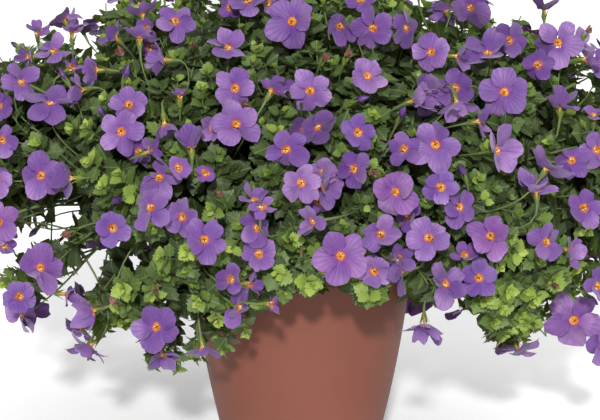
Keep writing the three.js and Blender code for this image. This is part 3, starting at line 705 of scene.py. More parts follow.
def grow_calyx(greens, centre, axes, tube, painted_light_and_tone, spreads):
    """Five narrow sepals round the tube, spreading a little from their foot."""
    marks = np.stack([np.tile([-1, 0, 1], 4), np.repeat(SEPAL_MARKS, 3), np.full(12, painted_light_and_tone)], axis=-1)
    for k in range(LOBES):
        angle = math.radians(LOBE_ANGLE * k + LOBE_ANGLE / 2 + vary(-8, 8))
        out = point(math.cos(angle), math.sin(angle), 0)
        side = point(-math.sin(angle), math.cos(angle), 0)
        spread = vary(*spreads)
        sepal = []
        for share, half in SEPAL_ROWS:
            height = -tube - SEPAL_DROP + SEPAL_LENGTH * share
            middle = out * (SEPAL_FOOT + spread * share ** 1.6) + point(0, 0, height)
            sepal.append([middle - side * half, middle + out * SEPAL_KEEL, middle + side * half])
        faces = grid_faces(len(SEPAL_ROWS), 3)
        greens.add(centre + np.array(sepal) @ axes, faces, LEAF_PART, marks, SEPAL_AGE)


def grow_foot(greens, bloom, axes, tube, painted_light_and_tone, spreads):
    """The sepals behind a bloom, and its thin stalk, curving down to its shoot."""
    grow_calyx(greens, bloom["centre"], axes, tube, painted_light_and_tone, spreads)
    back = bloom["centre"] - bloom["facing"] * tube
    root = bloom["root"]
    bend = back - bloom["facing"] * STALK_BEND * np.linalg.norm(root - back)
    path = curve_through(back, bend, root, np.linspace(0, 1, STALK_STEPS))
    faces = grid_faces(STALK_STEPS, STALK_SIDES, closed=True)
    greens.add(tube_points(path, STALK_RADII, STALK_SIDES), faces, STEM_PART, point(0, 0.5, painted_light_and_tone), STEM_AGE)


def grow_throat(petals, centre, axes, radius, painted_light_and_tone, tone):
    """The funnel and tube, wide at the throat and narrow behind, and four short stamens."""
    profile = [(THROAT_SHARE * radius * 1.2, -0.05 * radius), (0.1 * radius, -0.09 * radius), (0.75, -1.5),
               (TUBE_RADIUS, -1.9), (TUBE_RADIUS, -4.6), (0.85, -FLOWER_TUBE)]
    tube, faces = turned(profile, TUBE_SIDES)
    depth = np.repeat([r for r, _ in profile], TUBE_SIDES)
    marks = np.stack([depth * 0.9, np.zeros_like(depth), np.full_like(depth, painted_light_and_tone)], axis=-1)
    petals.add(centre + tube @ axes, faces, TUBE_PART, marks, tone)
    for k in range(STAMENS):
        angle = math.radians(45 + 360 / STAMENS * k)
        out = point(math.cos(angle), math.sin(angle), 0)
        base = out * 0.5 - point(0, 0, 2.2)
        tip = out * TUBE_RADIUS + point(0, 0, 0.1 - 0.7 * (k % 2))
        path = centre + np.array([base, (base + 2 * tip) / 3, tip, tip + point(0, 0, 0.3)]) @ axes
        petals.add(tube_points(path, STAMEN_RADII, 6), grid_faces(4, 6, closed=True), STAMEN_PART,
                   point(k % 3, 0, painted_light_and_tone), tone)


def grow_flower(petals, greens, flower):
    radius = flower["radius"]
    axes = flower_frame(flower)
    centre = flower["centre"]
    cup = vary(-0.14, 0.14)
    upward = 0
    if flower["turned"] > CUPPED_TURN:
        cup = vary(0.28, 0.5)
    if flower["turned"] > RAISED_TURN:
        cup = vary(0.4, 0.6)
        upward = UPWARD_PITCH
    tone = TONE_VALUES[flower["tone"]]
    # Painted light and shade: one value for the flower, varied lobe by lobe below, darkens or pales each lobe
    # as if it were turned into shade or towards the light
    painted_light_and_tone = vary(0.15, 0.85)
    breadth = vary(0.38, 0.49)
    for lobe in range(LOBES):
        heading = LOBE_ANGLE * lobe + vary(-6, 6)
        falls = max(0.0, -(rotated(point(1, 0, 0), 2, heading) @ axes)[2])
        shape = drawn_lobe(LOBE_RANGES, tilt=LOBE_TILT)
        shape["width"] += breadth
        shape["notch"] = max(0.0, shape["notch"])
        shape["cup"] += cup
        pitch = vary(-16, 14) + upward
        if draw_shape.random() < PITCHED_SHARE:
            pitch = draw_shape.choice([-1, 1]) * vary(26, 42) + upward
        points, marks = lobe_points(radius * (vary(0.98, 1.12) + 0.12 * falls), shape)
        points = rotated(points, 0, vary(-20, 20))
        rim = point(THROAT_SHARE * radius, 0, 0)
        spun = rotated(rotated(points - rim, 1, -pitch) + rim, 2, heading)
        marks[..., 2] = np.clip(painted_light_and_tone + vary(-0.45, 0.45), 0, 1)
        petals.add(centre + spun @ axes, lobe_faces, PETAL_PART, marks.reshape(-1, 3), tone)
    grow_throat(petals, centre, axes, radius, painted_light_and_tone, tone)
    grow_foot(greens, flower, axes, FLOWER_TUBE, painted_light_and_tone, (1.5, 2.6))


# Withered flowers, shrunk and drawn together, and closed buds, twisted to a point
WITHERED_RADIUS = 4.4
WITHERED_TUBE = 4.6
WITHERED_NOTCH = 0.1
WITHERED_TILT = 0.2
WITHERED_RANGES = {
    "swing": (95, 115), "width": (0.22, 0.34), "notch_at": (-0.5, 0.5), "fold": (-0.5, 0.5), "wave": (0, 6.3),
    "cup": (0.2, 0.9), "curl": (-2, 1), "ruffle": (0.1, 0.25),
}
BUD_PROFILE = [(0.6, -5.5), (0.7, -3), (1.05, -1.6), (1.6, -0.2), (1.85, 1.2), (1.5, 3), (0.8, 4.8),
               (0.06, 6)]
BUD_SIDES = 15
BUD_TUBE = 5
SMALL_BLOOM_SEED = 17
HIDDEN_WITHERED = 12
HIDDEN_BUDS = 10
BLOOM_SPACING = 15
CARRIERS_TRIED = 4


def grow_withered(petals, greens, bloom):
    axes = flower_frame(bloom)
    painted_light_and_tone = vary(0, 1)
    for lobe in range(LOBES):
        shape = drawn_lobe(WITHERED_RANGES, notch=WITHERED_NOTCH, tilt=WITHERED_TILT)
        points = lobe_points(WITHERED_RADIUS * vary(0.75, 1.1), shape)[0]
        points = rotated(points, 1, -vary(25, 70))
        spun = rotated(points, 2, LOBE_ANGLE * lobe + vary(-14, 14))
        petals.add(bloom["centre"] + spun @ axes, lobe_faces, WITHERED_PART, point(0, 0, painted_light_and_tone), 0)
    grow_foot(greens, bloom, axes, WITHERED_TUBE, painted_light_and_tone, (1.2, 2.4))


def grow_bud(petals, greens, bloom):
    axes = flower_frame(bloom)
    size = vary(0.75, 1.05)
    angles = angles_round(BUD_SIDES)
    rings = []
    for radius, height in BUD_PROFILE:
        ridges = 1 + 0.24 * np.cos(5 * angles + 0.5 * height) + 0.1 * np.cos(2 * angles + 1)
        rings.append(ring(radius * size * ridges, height * size, angles))
    faces = grid_faces(len(BUD_PROFILE), BUD_SIDES, closed=True)
    petals.add(bloom["centre"] + np.array(rings) @ axes, faces, BUD_PART, point(0, 0, size - 0.5), 0)
    grow_foot(greens, bloom, axes, BUD_TUBE, 0.5, (0.7, 1.3))


def carrier_of(place, draw):
    """A near flowering shoot from which a stalk passes clear of the flowers, and the stalk's root."""
    nearest = np.argsort(np.linalg.norm(hub_ends - place, axis=1))
    tried = []
    for shoot in (nearest[0], *nearest[:CARRIERS_TRIED]):
        root = flowering_shoots[shoot]["route"].before_end(HUB_DEPTH + draw.uniform(2, 14))
        along = place + (root - place) * np.linspace(0.15, 1, 8)[:, None]
        if tried and clear_of_flowers(along, 0).all():
            return shoot, root
        tried.append((shoot, root))
    return tried[0]


def small_blooms():
    """The withered flowers and buds: as the photograph shows them, and drawn over the hidden sides."""
    draw = np.random.default_rng(SMALL_BLOOM_SEED)
    found = []
    kinds = [(grow_withered, WITHERED_SEEN, HIDDEN_WITHERED), (grow_bud, BUDS_SEEN, HIDDEN_BUDS)]
    for grow, pixels, hidden in kinds:
        places = [point_seen_at(u, v) for u, v in pixels]
        while len(places) < len(pixels) + hidden:
            azimuth = 360 * draw.random()
            place = mound_point(azimuth, (lowest_polar(azimuth) - SKIRT_MARGIN) * draw.random() ** 0.5)
            clear = np.linalg.norm(FLOWER_CENTRES - place, axis=1).min() > BLOOM_SPACING
            if clear and not in_the_photograph(place):
                places.append(place)
        for place in places:
            outward = mound_normal(place)
            facing = unit(outward + draw.uniform(-0.7, 0.7, 3))
            shoot, root = carrier_of(place, draw)
            found.append({"grow": grow, "centre": place - outward * draw.uniform(0, 4), "facing": facing,
                          "spin": draw.uniform(0, 360), "root": root, "shoot": shoot})
    return found


# One leaf: broad, with coarse teeth, on a short stalk. Rows run from its stalk to its tip: place, half-width
LEAF_COLUMNS = 3
LEAF_WIDEST = 0.4
LEAF_SWEEP = 0.09
LEAF_WAVE = 0.03
LEAF_OUTLINES = {
    "small": [(0.0, 0.04), (0.25, 0.24), (0.45, 0.4), (0.5, 0.3), (0.7, 0.33), (0.75, 0.22), (1.0, 0.02)],
    "fine": [(0.0, 0.035), (0.12, 0.035), (0.2, 0.15), (0.34, 0.37), (0.36, 0.25), (0.5, 0.46), (0.52, 0.31),
             (0.66, 0.44), (0.68, 0.28), (0.81, 0.33), (0.83, 0.18), (0.93, 0.15), (1.0, 0.02)],
    "middle": [(0.0, 0.035), (0.16, 0.05), (0.31, 0.38), (0.35, 0.27), (0.53, 0.46), (0.57, 0.31),
               (0.77, 0.34), (0.8, 0.2), (1.0, 0.02)],
    "coarse": [(0.0, 0.03), (0.2, 0.15), (0.45, 0.38), (0.75, 0.31), (1.0, 0.02)],
}


def leaf_template(outline):
    across = np.linspace(-1, 1, LEAF_COLUMNS)
    points = np.zeros((len(outline), LEAF_COLUMNS, 3))
    marks = np.zeros((len(outline), LEAF_COLUMNS, 3))
    for i, (along, half) in enumerate(outline):
        back = LEAF_SWEEP if 0.15 < along < 0.95 else 0
        points[i, :, 0] = along - back * (1 - np.abs(across))
        points[i, :, 1] = half * across
        marks[i, :, 0] = across * half / LEAF_WIDEST
        marks[i, :, 1] = along
    return points.reshape(-1, 3), marks.reshape(-1, 3), grid_faces(len(outline), LEAF_COLUMNS)


LEAF_TEMPLATES = {kind: leaf_template(outline) for kind, outline in LEAF_OUTLINES.items()}


def leaves_at(shape, places, ways, uppers, lengths, widths, bends, folds):
    """Many leaves at once: each bends along its length and folds along its middle."""
    y = shape[None, :, 1] * (lengths * widths)[:, None]
    angle = bends[:, None] * shape[None, :, 0]
    safe = np.where(abs(bends) < 1e-3, 1e-3, bends)[:, None]
    along = lengths[:, None] / safe * np.sin(angle)
    drop = lengths[:, None] / safe * (np.cos(angle) - 1)
    fold = folds[:, None] * np.abs(y)
    ripple = np.sin(9 * shape[None, :, 0] + 3 * np.sign(y)) * np.abs(shape[None, :, 1]) / LEAF_WIDEST
    wave = LEAF_WAVE * lengths[:, None] * ripple
    ways = unit(ways)
    normals = square_to(uppers, ways)
    sides = np.cross(normals, ways)
    points = places[:, None] + ways[:, None] * along[..., None] + sides[:, None] * y[..., None]
    return points + normals[:, None] * (drop + fold + wave)[..., None]


# The leafy sprigs: side shoots with leaves in crossed pairs, each from one of the nearest leafy shoots
SPRIG_SEED = 11
LEAF_SEED = 23
SPRIG_CANDIDATES = 9000
SPRIG_SPACING = 12
SPRIG_LENGTH = 78
SPRIG_RISE = 32
LONGEST_SHARE = 0.62
TIP_DEPTH = 1
DEPTH_SPREAD = 12
SPRIG_LEAN = 0.55
SPRIG_POINTS = 7
SPRIG_SIDES = 3
NODES = 11
YOUNG_DISTANCES = [0.3, 1.2, 2.8, 5.2, 8.4]
NODE_START = 12
NODE_SPACING = 5.6
YOUNG_LENGTHS = [3.2, 4.7, 6.4, 8.2, 9.6, 10.8]
LEAF_LENGTH = 12
YOUNG_LIFTS = [70, 58, 46, 40, 36]
LEAF_LIFT = 30
LEAF_KINDS = ["small"] * 2 + ["fine"] * 2 + ["middle"] * 2 + ["coarse"] * (NODES - 6)
LEAF_CLEARANCE = 13
BEFORE_FACE = 30
OUTERMOST_LEVEL = 1.12
CLUMP_SIZE = 13
HOLLOW_DEPTH = 17
GAP_MARGIN = 8
STEM_STEPS = 30
SHOOTS_TRIED = 3
OLD_LEAF_PAIRS = 26
OLD_LEAVES_FROM = 0.3
OLD_LEAVES_TO = 0.84
OLD_LEAF_LENGTH = 14.5
# The old leaves' value lies past the ramp's dark end: near-black, painted shade
OLD_LEAF_AGE_AND_SHADE = 1.1

# Where the white ground shows beside and under the foliage, and where foliage hangs before the pot's lip and
# in the full tuft at the lower right: pixels, and a clearing's half-size
CLEARINGS = [(80, 16, 20, 26), (463, 344, 26, 42), (56, 336, 34, 34), (120, 354, 18, 22), (428, 345, 16, 34)]
LIP_SPRIGS = [(-66, 296), (-48, 288), (-30, 280), (-14, 275), (2, 273), (16, 272), (30, 273), (44, 277),
              (58, 284)]
LIP_STAND_OFF = 10
LIP_POLAR = 90
TUFT_SPRIGS = [(492, 306), (506, 318), (499, 330), (516, 338), (528, 326), (538, 312), (541, 334), (524, 350),
               (552, 346), (532, 300), (514, 300)]
TUFT_POLAR = 80
TUFT_SINK = 6
PLACED_DEPTH = 2


def lip_tips():
    """Tips just before the pot's lip at the front, which they hide."""
    ahead = point(0, -1, 0.25)
    found = []
    for x, v in LIP_SPRIGS:
        y = -math.sqrt((POT_TOP_RADIUS + LIP_STAND_OFF) ** 2 - min(abs(x), POT_TOP_RADIUS) ** 2) + 4
        level = (FRAME_HEIGHT / 2 - v) * MM_PER_PIXEL - (y - VIEW_AIM[1]) * VIEW_UP[1]
        tip = point(x, y, VIEW_AIM[2] + level / VIEW_UP[2])
        found.append((tip, unit(ahead + point(x / 120, 0, 0)), LIP_POLAR, PLACED_DEPTH))
    return found


def tuft_tips():
    found = []
    for u, v in TUFT_SPRIGS:
        surface = point_seen_at(u, v)
        outward = mound_normal(surface)
        found.append((surface - outward * TUFT_SINK, unit(outward + TO_CAMERA), TUFT_POLAR, PLACED_DEPTH))
    return found


def hollow_share(p):
    """How far the foliage draws back from the mound's surface: it stands in clumps with hollows between."""
    x, y, z = p / CLUMP_SIZE
    broad = math.sin(x + 0.7) * math.cos(1.2 * y + 0.3) + 0.8 * math.sin(1.3 * z + 0.6 * x)
    return min(1.0, max(0.0, 0.15 - 0.7 * (broad + 0.4 * math.sin(2.3 * x - z))))


def sprig_tips():
    draw = np.random.default_rng(SPRIG_SEED)
    tips = np.zeros((0, 3))
    chosen = []
    for _ in range(SPRIG_CANDIDATES):
        azimuth = 360 * draw.random()
        polar = (lowest_polar(azimuth) + 2) * draw.random() ** 0.5
        surface = mound_point(azimuth, polar)
        outward = mound_normal(surface)
        depth = TIP_DEPTH + DEPTH_SPREAD * draw.random() ** 1.6 + HOLLOW_DEPTH * hollow_share(surface)
        tip = surface - outward * depth
        if len(tips) and np.linalg.norm(tips - tip, axis=1).min() < SPRIG_SPACING:
            continue
        if in_gaps(tip[None], GAP_MARGIN).any():
            continue
        tips = np.vstack([tips, tip])
        lean = unit(outward + draw.uniform(-SPRIG_LEAN, SPRIG_LEAN, 3))
        chosen.append((tip, lean, polar, depth))
    return chosen


FLOWER_CENTRES, FLOWER_FACINGS, FLOWER_RADII, FLOWER_SEEN = (
    np.array([flower[key] for flower in flowers]) for key in ("centre", "facing", "radius", "seen"))


def clear_of_flowers(points, reach):
    """True where a leaf of that reach, centred at a point, neither cuts a flower nor hides its face."""
    keep = np.ones(len(points), bool)
    for centre, facing, radius, seen in zip(FLOWER_CENTRES, FLOWER_FACINGS, FLOWER_RADII, FLOWER_SEEN):
        offset = points - centre
        height = offset @ facing
        flat = np.linalg.norm(offset - height[:, None] * facing, axis=1)
        cuts = (np.abs(height) < 0.35 * reach + 1) & (flat < radius + 0.3 * reach)
        before = (height > 0) & (height < BEFORE_FACE) & (flat < radius * 0.9)
        keep &= ~(cuts | before)
        if seen:
            sight = unit(VIEW_POINT - centre)
            towards = offset @ sight
            aside = np.linalg.norm(offset - towards[:, None] * sight, axis=1)
            keep &= ~((towards > 0) & (aside < radius * 0.92 + 0.25 * reach))
    return keep


def in_gaps(points, margin=0):
    """True where a point lies before one of the gaps or clearings, widened by this many pixels."""
    u, v = pixel_of(points)
    inside = np.zeros(len(points), bool)
    for gu, gv, gw, gh in GAPS_SEEN + CLEARINGS:
        inside |= ((u - gu) / (gw + margin)) ** 2 + ((v - gv) / (gh + margin)) ** 2 < 1
    return inside


leafy_ends = np.array([shoot["route"].at(1.0) for shoot in leafy_shoots])
vary_leaf = np.random.default_rng(LEAF_SEED).uniform


def sprig_path(shoot, tip, outward, polar):
    """A side shoot: it leaves its shoot well inside the mound and turns out and up at its tip."""
    route = shoot["route"]
    reach = np.linalg.norm(route.end - tip)
    base = route.before_end(min(SPRIG_LENGTH + 0.55 * reach, LONGEST_SHARE * route.length))
    lift = point(0, 0, 10 if polar < 110 else -4)
    return curve_through(base, tip - outward * SPRIG_RISE - lift, tip, np.linspace(0, 1, SPRIG_POINTS))


def walk_back(path, distances):
    """Places and directions at these distances back from the path's end."""
    walked = walked_along(path)
    at = np.clip(walked[-1] - distances, 0, walked[-1])
    ways = unit(places_on(path, walked, at + 1.5) - places_on(path, walked, at - 1.5))
    return places_on(path, walked, at), ways, at > 1


def way_of_leaf(way, angle, lift):
    """A leaf's direction: at this angle round its shoot, and raised by this much towards the shoot's tip."""
    first = square_to(np.cross(way, point(0.1, 0.2, 1)), way)
    second = np.cross(way, first)
    out = first * math.cos(angle) + second * math.sin(angle)
    return unit(out * math.cos(lift) + way * math.sin(lift))


def old_leaves(route):
    """A leafy shoot's own old leaves, broad and near-black as painted shade, which close the inside of the
    mound.
    """
    rows = []
    for k in range(OLD_LEAF_PAIRS):
        share = OLD_LEAVES_FROM + (OLD_LEAVES_TO - OLD_LEAVES_FROM) * k / OLD_LEAF_PAIRS
        place = route.at(share)
        way = unit(route.at(share + 0.02) - place)
        for side in (0, math.pi):
            angle = k * math.pi / 2 + side + vary_leaf(-0.6, 0.6)
            leaf_way = way_of_leaf(way, angle, vary_leaf(-0.2, 0.6))
            upper = unit(way + vary_leaf(-0.5, 0.5, 3))
            rows.append((place, leaf_way, upper, OLD_LEAF_LENGTH * vary_leaf(0.85, 1.15), OLD_LEAF_AGE_AND_SHADE))
    return rows


def grow_foliage():
    """The stems' paths and the rows of leaves of each leafy shoot."""
    batches = [{kind: [] for kind in (*LEAF_OUTLINES, "stems")} for _ in leafy_shoots]
    distances = np.concatenate([YOUNG_DISTANCES, NODE_START + NODE_SPACING * np.arange(NODES - 5)])
    lengths = np.concatenate([YOUNG_LENGTHS, np.full(NODES - 6, LEAF_LENGTH)])
    lifts = np.radians(np.concatenate([YOUNG_LIFTS, np.full(NODES - 5, LEAF_LIFT)]))
    for tip, outward, polar, depth in sprig_tips() + lip_tips() + tuft_tips():
        by_distance = np.argsort(np.linalg.norm(leafy_ends - tip, axis=1))
        for nearest in by_distance[:SHOOTS_TRIED]:
            path = sprig_path(leafy_shoots[nearest], tip, outward, polar)
            walked = places_on(path, np.arange(SPRIG_POINTS), np.linspace(0, SPRIG_POINTS - 1, STEM_STEPS))
            clear = in_gaps(walked).sum() <= 2 and clear_of_flowers(walked[STEM_STEPS // 3:], 0).all()
            if clear:
                break
        if not clear:
            continue
        places, ways, on_path = walk_back(path, distances)
        batches[nearest]["stems"].append(path)
        spin = vary_leaf(0, math.pi)
        vigour = vary_leaf(0.82, 1.18)
        # Painted shade: a leaf darkens with its sprig tip's depth below the mound's surface, so hollows read
        # as shaded; the hanging skirt is painted lighter, as if better lit; the rest is a random tone
        leaf_tone_and_painted_shade = vary_leaf(-0.16, 0.12) + 0.02 * depth - (0.14 if polar > 95 else 0)
        for k in np.nonzero(on_path)[0]:
            for side in (0, math.pi):
                angle = spin + k * math.pi / 2 + side + vary_leaf(-0.35, 0.35)
                leaf_way = way_of_leaf(ways[k], angle, lifts[k] + vary_leaf(-0.4, 0.3))
                upper = unit(ways[k] * 0.9 + outward * 0.5 + vary_leaf(-0.35, 0.35, 3))
                length = lengths[k] * vigour * vary_leaf(0.85, 1.15)
                age_tone_and_painted_shade = min(1.0, k / 7) + leaf_tone_and_painted_shade + vary_leaf(-0.05, 0.05)
                batches[nearest][LEAF_KINDS[k]].append((places[k], leaf_way, upper, length, age_tone_and_painted_shade))
    for shoot, batch in zip(leafy_shoots, batches):
        batch["coarse"] += old_leaves(shoot["route"])
    return batches


def add_leaves(growing, rows, template):
    if not rows:
        return
    columns = [np.array(column) for column in zip(*rows)]
    places, ways, _, lengths, _ = columns
    middles = places + unit(ways) * lengths[:, None] * 0.55
    keep = clear_of_flowers(middles, LEAF_CLEARANCE) & ~in_gaps(middles)
    keep &= mound_level(places + unit(ways) * lengths[:, None]) < OUTERMOST_LEVEL
    places, ways, uppers, lengths, tone_age_and_painted_shade_values = (column[keep] for column in columns)
    many = len(places)
    widths = vary_leaf(0.88, 1.2, many)
    bends = vary_leaf(-0.2, 0.9, many)
    folds = vary_leaf(0.05, 0.4, many)
    shape, marks, faces = template
    points = leaves_at(shape, places, ways, uppers, lengths, widths, bends, folds)
    marks = np.tile(marks, (many, 1))
    marks[:, 2] = np.repeat(vary_leaf(0, 1, many), len(shape))
    growing.copies(points, faces, LEAF_PART, marks, np.repeat(tone_age_and_painted_shade_values, len(shape)))


# Materials: the steps that colours and surfaces are made of
WHITE = (1, 1, 1)
PETAL_REACH = 13


def node_material(name):
    material = bpy.data.materials.new(name)
    material.use_nodes = True
    return material, material.node_tree, material.node_tree.nodes["Principled BSDF"]


def feed(tree, sockets, values):
    """Sets a number or a colour as it is, and links anything else."""
    for key, value in values.items():
        if isinstance(value, tuple):
            sockets[key].default_value = (*value, 1)
        elif isinstance(value, (int, float)):
            sockets[key].default_value = value
        else:
            tree.links.new(value, sockets[key])


def add_node(tree, kind, values, **settings):
    node = tree.nodes.new(kind)
    for key, setting in settings.items():
        setattr(node, key, setting)
    feed(tree, node.inputs, values)
    return node


def math_node(tree, operation, *values):
    return add_node(tree, "ShaderNodeMath", dict(enumerate(values)), operation=operation).outputs[0]


def times(tree, a, b):
    return math_node(tree, "MULTIPLY", a, b)


def peaks(tree, value, gain, offset):
    """What rises above nought of a value that is multiplied and moved."""
    return math_node(tree, "MAXIMUM", math_node(tree, "MULTIPLY_ADD", value, gain, offset), 0)


def ramp(tree, value, stops):
    """A colour for each place on a scale, where a plain number stands for a grey."""
    node = add_node(tree, "ShaderNodeValToRGB", {"Fac": value})
    elements = node.color_ramp.elements
    while len(elements) < len(stops):
        elements.new(0.5)
    for element, (position, colour) in zip(elements, stops):
        element.position = position
        element.color = (*colour, 1) if isinstance(colour, tuple) else (colour, colour, colour, 1)
    return node.outputs["Color"]


def mix(tree, share, a, b):
    return add_node(tree, "ShaderNodeMix", {0: share, 6: a, 7: b}, data_type="RGBA").outputs[2]


def tint(tree, colour, mask, strength, other):
    """The colour, turned towards another where the mask is bright."""
    return mix(tree, times(tree, mask, strength), colour, other)


def attribute(tree, name):
    return add_node(tree, "ShaderNodeAttribute", {}, attribute_name=name, attribute_type="GEOMETRY").outputs


def split_marks(tree):
    """The three values that each point of a plant's mesh carries."""
    return add_node(tree, "ShaderNodeSeparateXYZ", {0: attribute(tree, "marks")["Vector"]}).outputs


def noise(tree, scale, detail, roughness=0.5):
    place = add_node(tree, "ShaderNodeTexCoord", {}).outputs["Object"]
    values = {"Scale": scale, "Detail": detail, "Roughness": roughness, "Vector": place}
    return add_node(tree, "ShaderNodeTexNoise", values).outputs["Fac"]


def bump(tree, height, strength, distance):
    values = {"Strength": strength, "Distance": distance, "Height": height}
    return add_node(tree, "ShaderNodeBump", values).outputs["Normal"]


def let_light_through(tree, shader, colour, share):
    through = add_node(tree, "ShaderNodeBsdfTranslucent", {"Color": colour})
    blend = add_node(tree, "ShaderNodeMixShader", {0: share, 1: shader.outputs[0], 2: through.outputs[0]})
    tree.links.new(blend.outputs[0], tree.nodes["Material Output"].inputs["Surface"])


# The materials
def leaf_material():
    material, tree, shader = node_material("leaf")
    across, along, tone = split_marks(tree)
    shift = math_node(tree, "MULTIPLY_ADD", tone, 0.3, -0.15)
    age_tone_and_painted_shade = math_node(tree, "ADD", attribute(tree, "age_tone_and_painted_shade")["Fac"], shift)
    # From young yellow-green tips to old dark green; the near-black end is painted shade for leaves deep
    # inside the mound
    colour = ramp(tree, age_tone_and_painted_shade, [
        (0.0, (0.33, 0.42, 0.07)), (0.2, (0.21, 0.29, 0.045)), (0.42, (0.08, 0.135, 0.025)),
        (0.7, (0.034, 0.055, 0.016)), (1.0, (0.013, 0.019, 0.007))])
    patches = noise(tree, 220, 4)
    colour = tint(tree, colour, patches, 0.22, (0.13, 0.19, 0.03))
    aside = math_node(tree, "ABSOLUTE", across)
    midrib = math_node(tree, "MAXIMUM", math_node(tree, "SUBTRACT", 1, times(tree, aside, 11)), 0)
    slant = math_node(tree, "SUBTRACT", along, times(tree, aside, 0.42))
    side_veins = peaks(tree, math_node(tree, "SINE", times(tree, slant, 40)), 4, -3.1)
    veins = math_node(tree, "MAXIMUM", midrib, times(tree, side_veins, 0.7))
    colour = tint(tree, colour, veins, 0.4, (0.27, 0.42, 0.12))
    height = math_node(tree, "SUBTRACT", times(tree, patches, 0.5), veins)
    feed(tree, shader.inputs, {"Base Color": colour, "Roughness": 0.5, "Specular IOR Level": 0.42,
                               "Normal": bump(tree, height, 0.5, 0.0004)})
    let_light_through(tree, shader, mix(tree, 0.5, colour, (0.36, 0.52, 0.06)), 0.16)
    return material


def petal_material():
    material, tree, shader = node_material("petal")
    reach, across, painted_light_and_tone = split_marks(tree)
    near = math_node(tree, "DIVIDE", reach, PETAL_REACH)
    tone = math_node(tree, "DIVIDE", attribute(tree, "age_tone_and_painted_shade")["Fac"], max(TONE_VALUES.values()))
    # The tone ramp's darkest stop, for tone d, is painted shade; the other stops are the flowers' own tones
    outer = ramp(tree, tone, [
        (0.0, (0.056, 0.012, 0.112)), (0.166, (0.128, 0.048, 0.22)), (0.333, (0.09, 0.041, 0.22)),
        (0.666, (0.245, 0.128, 0.31)), (1.0, (0.18, 0.049, 0.215))])
    rim = ramp(tree, near, [(0.45, 0), (1.0, 1)])
    # Painted shade and light: lobes with a low value are darkened to deep violet and lobes with a high value
    # are paled, as shaded and lit copies of one colour; the rim is paler as well
    deeper = mix(tree, ramp(tree, painted_light_and_tone, [(0.0, 0.9), (0.62, 0)]), outer, (0.07, 0.015, 0.15))
    pale_share = math_node(tree, "MULTIPLY_ADD", rim, 0.22, ramp(tree, painted_light_and_tone, [(0.4, 0), (1.0, 0.5)]))
    paler = mix(tree, pale_share, deeper, (0.37, 0.22, 0.45))
    base = mix(tree, 0.6, outer, (0.13, 0.02, 0.24))
    colour = tint(tree, paler, ramp(tree, near, [(0.15, 1), (0.7, 0)]), 0.85, base)
    streaks = peaks(tree, math_node(tree, "SINE", times(tree, across, 26)), 1.6, -0.8)
    colour = tint(tree, colour, streaks, 0.28, (0.08, 0.015, 0.19))
    patches = noise(tree, 260, 3)
    colour = tint(tree, colour, patches, 0.14, (0.4, 0.27, 0.55))
    shades = ramp(tree, noise(tree, 150, 2), [(0.42, 0), (0.62, 0.4)])
    colour = mix(tree, shades, colour, (0.09, 0.025, 0.2))
    halo = ramp(tree, near, [(0.14, 0), (0.19, 1), (0.3, 0)])
    colour = tint(tree, colour, halo, 0.3, (0.30, 0.06, 0.16))
    stains = ramp(tree, noise(tree, 420, 2), [(0.4, 0), (0.6, 1)])
    gold = mix(tree, stains, (0.62, 0.25, 0.025), (0.33, 0.07, 0.015))
    colour = mix(tree, ramp(tree, near, [(0.14, 1), (0.2, 0)]), colour, gold)
    height = math_node(tree, "ADD", times(tree, patches, 0.6), streaks)
    feed(tree, shader.inputs, {"Base Color": colour, "Roughness": 0.55, "Specular IOR Level": 0.3,
                               "Sheen Weight": 0.25, "Normal": bump(tree, height, 0.5, 0.0005)})
    let_light_through(tree, shader, mix(tree, 0.2, colour, (0.5, 0.2, 0.6)), 0.16)
    return material


def tube_material():
    material, tree, shader = node_material("flower_tube")
    colour = ramp(tree, math_node(tree, "DIVIDE", split_marks(tree)[0], 2), [
        (0.40, (0.17, 0.22, 0.045)), (0.45, (0.40, 0.30, 0.05)), (0.6, (0.72, 0.26, 0.012))])
    slits = ramp(tree, noise(tree, 420, 2), [(0.4, 0), (0.6, 1)])
    colour = tint(tree, colour, slits, 0.6, (0.34, 0.05, 0.012))
    feed(tree, shader.inputs, {"Base Color": colour, "Roughness": 0.5})
    return material


def stamen_material():
    material, tree, shader = node_material("stamen")
    colour = ramp(tree, math_node(tree, "DIVIDE", split_marks(tree)[0], 2), [
        (0.0, (0.78, 0.50, 0.22)), (0.5, (0.72, 0.30, 0.03)), (1.0, (0.55, 0.17, 0.02))])
    feed(tree, shader.inputs, {"Base Color": colour, "Roughness": 0.8, "Specular IOR Level": 0.15})
    return material


def pot_material():
    material, tree, shader = node_material("terracotta")
    colour = ramp(tree, noise(tree, 14, 4, 0.55), [
        (0.3, (0.148, 0.044, 0.026)), (0.55, (0.166, 0.05, 0.03)), (0.75, (0.182, 0.058, 0.036))])
    fine = noise(tree, 260, 5, 0.6)
    colour = tint(tree, colour, fine, 0.14, (0.2, 0.078, 0.052))
    specks = ramp(tree, noise(tree, 900, 2), [(0.66, 0), (0.74, 1)])
    colour = tint(tree, colour, specks, 0.3, (0.25, 0.08, 0.06))
    roughness = math_node(tree, "MULTIPLY_ADD", fine, 0.2, 0.5)
    feed(tree, shader.inputs, {"Base Color": colour, "Roughness": roughness, "Specular IOR Level": 0.35,
                               "Normal": bump(tree, fine, 0.12, 0.0004)})
    return material


def soil_material():
    material, tree, shader = node_material("soil")
    crumbs = noise(tree, 220, 6, 0.65)
    colour = ramp(tree, crumbs, [
        (0.35, (0.010, 0.006, 0.004)), (0.5, (0.035, 0.02, 0.011)), (0.68, (0.085, 0.052, 0.03))])
    feed(tree, shader.inputs, {"Base Color": colour, "Roughness": 0.95,
                               "Normal": bump(tree, crumbs, 0.9, 0.002)})
    return material


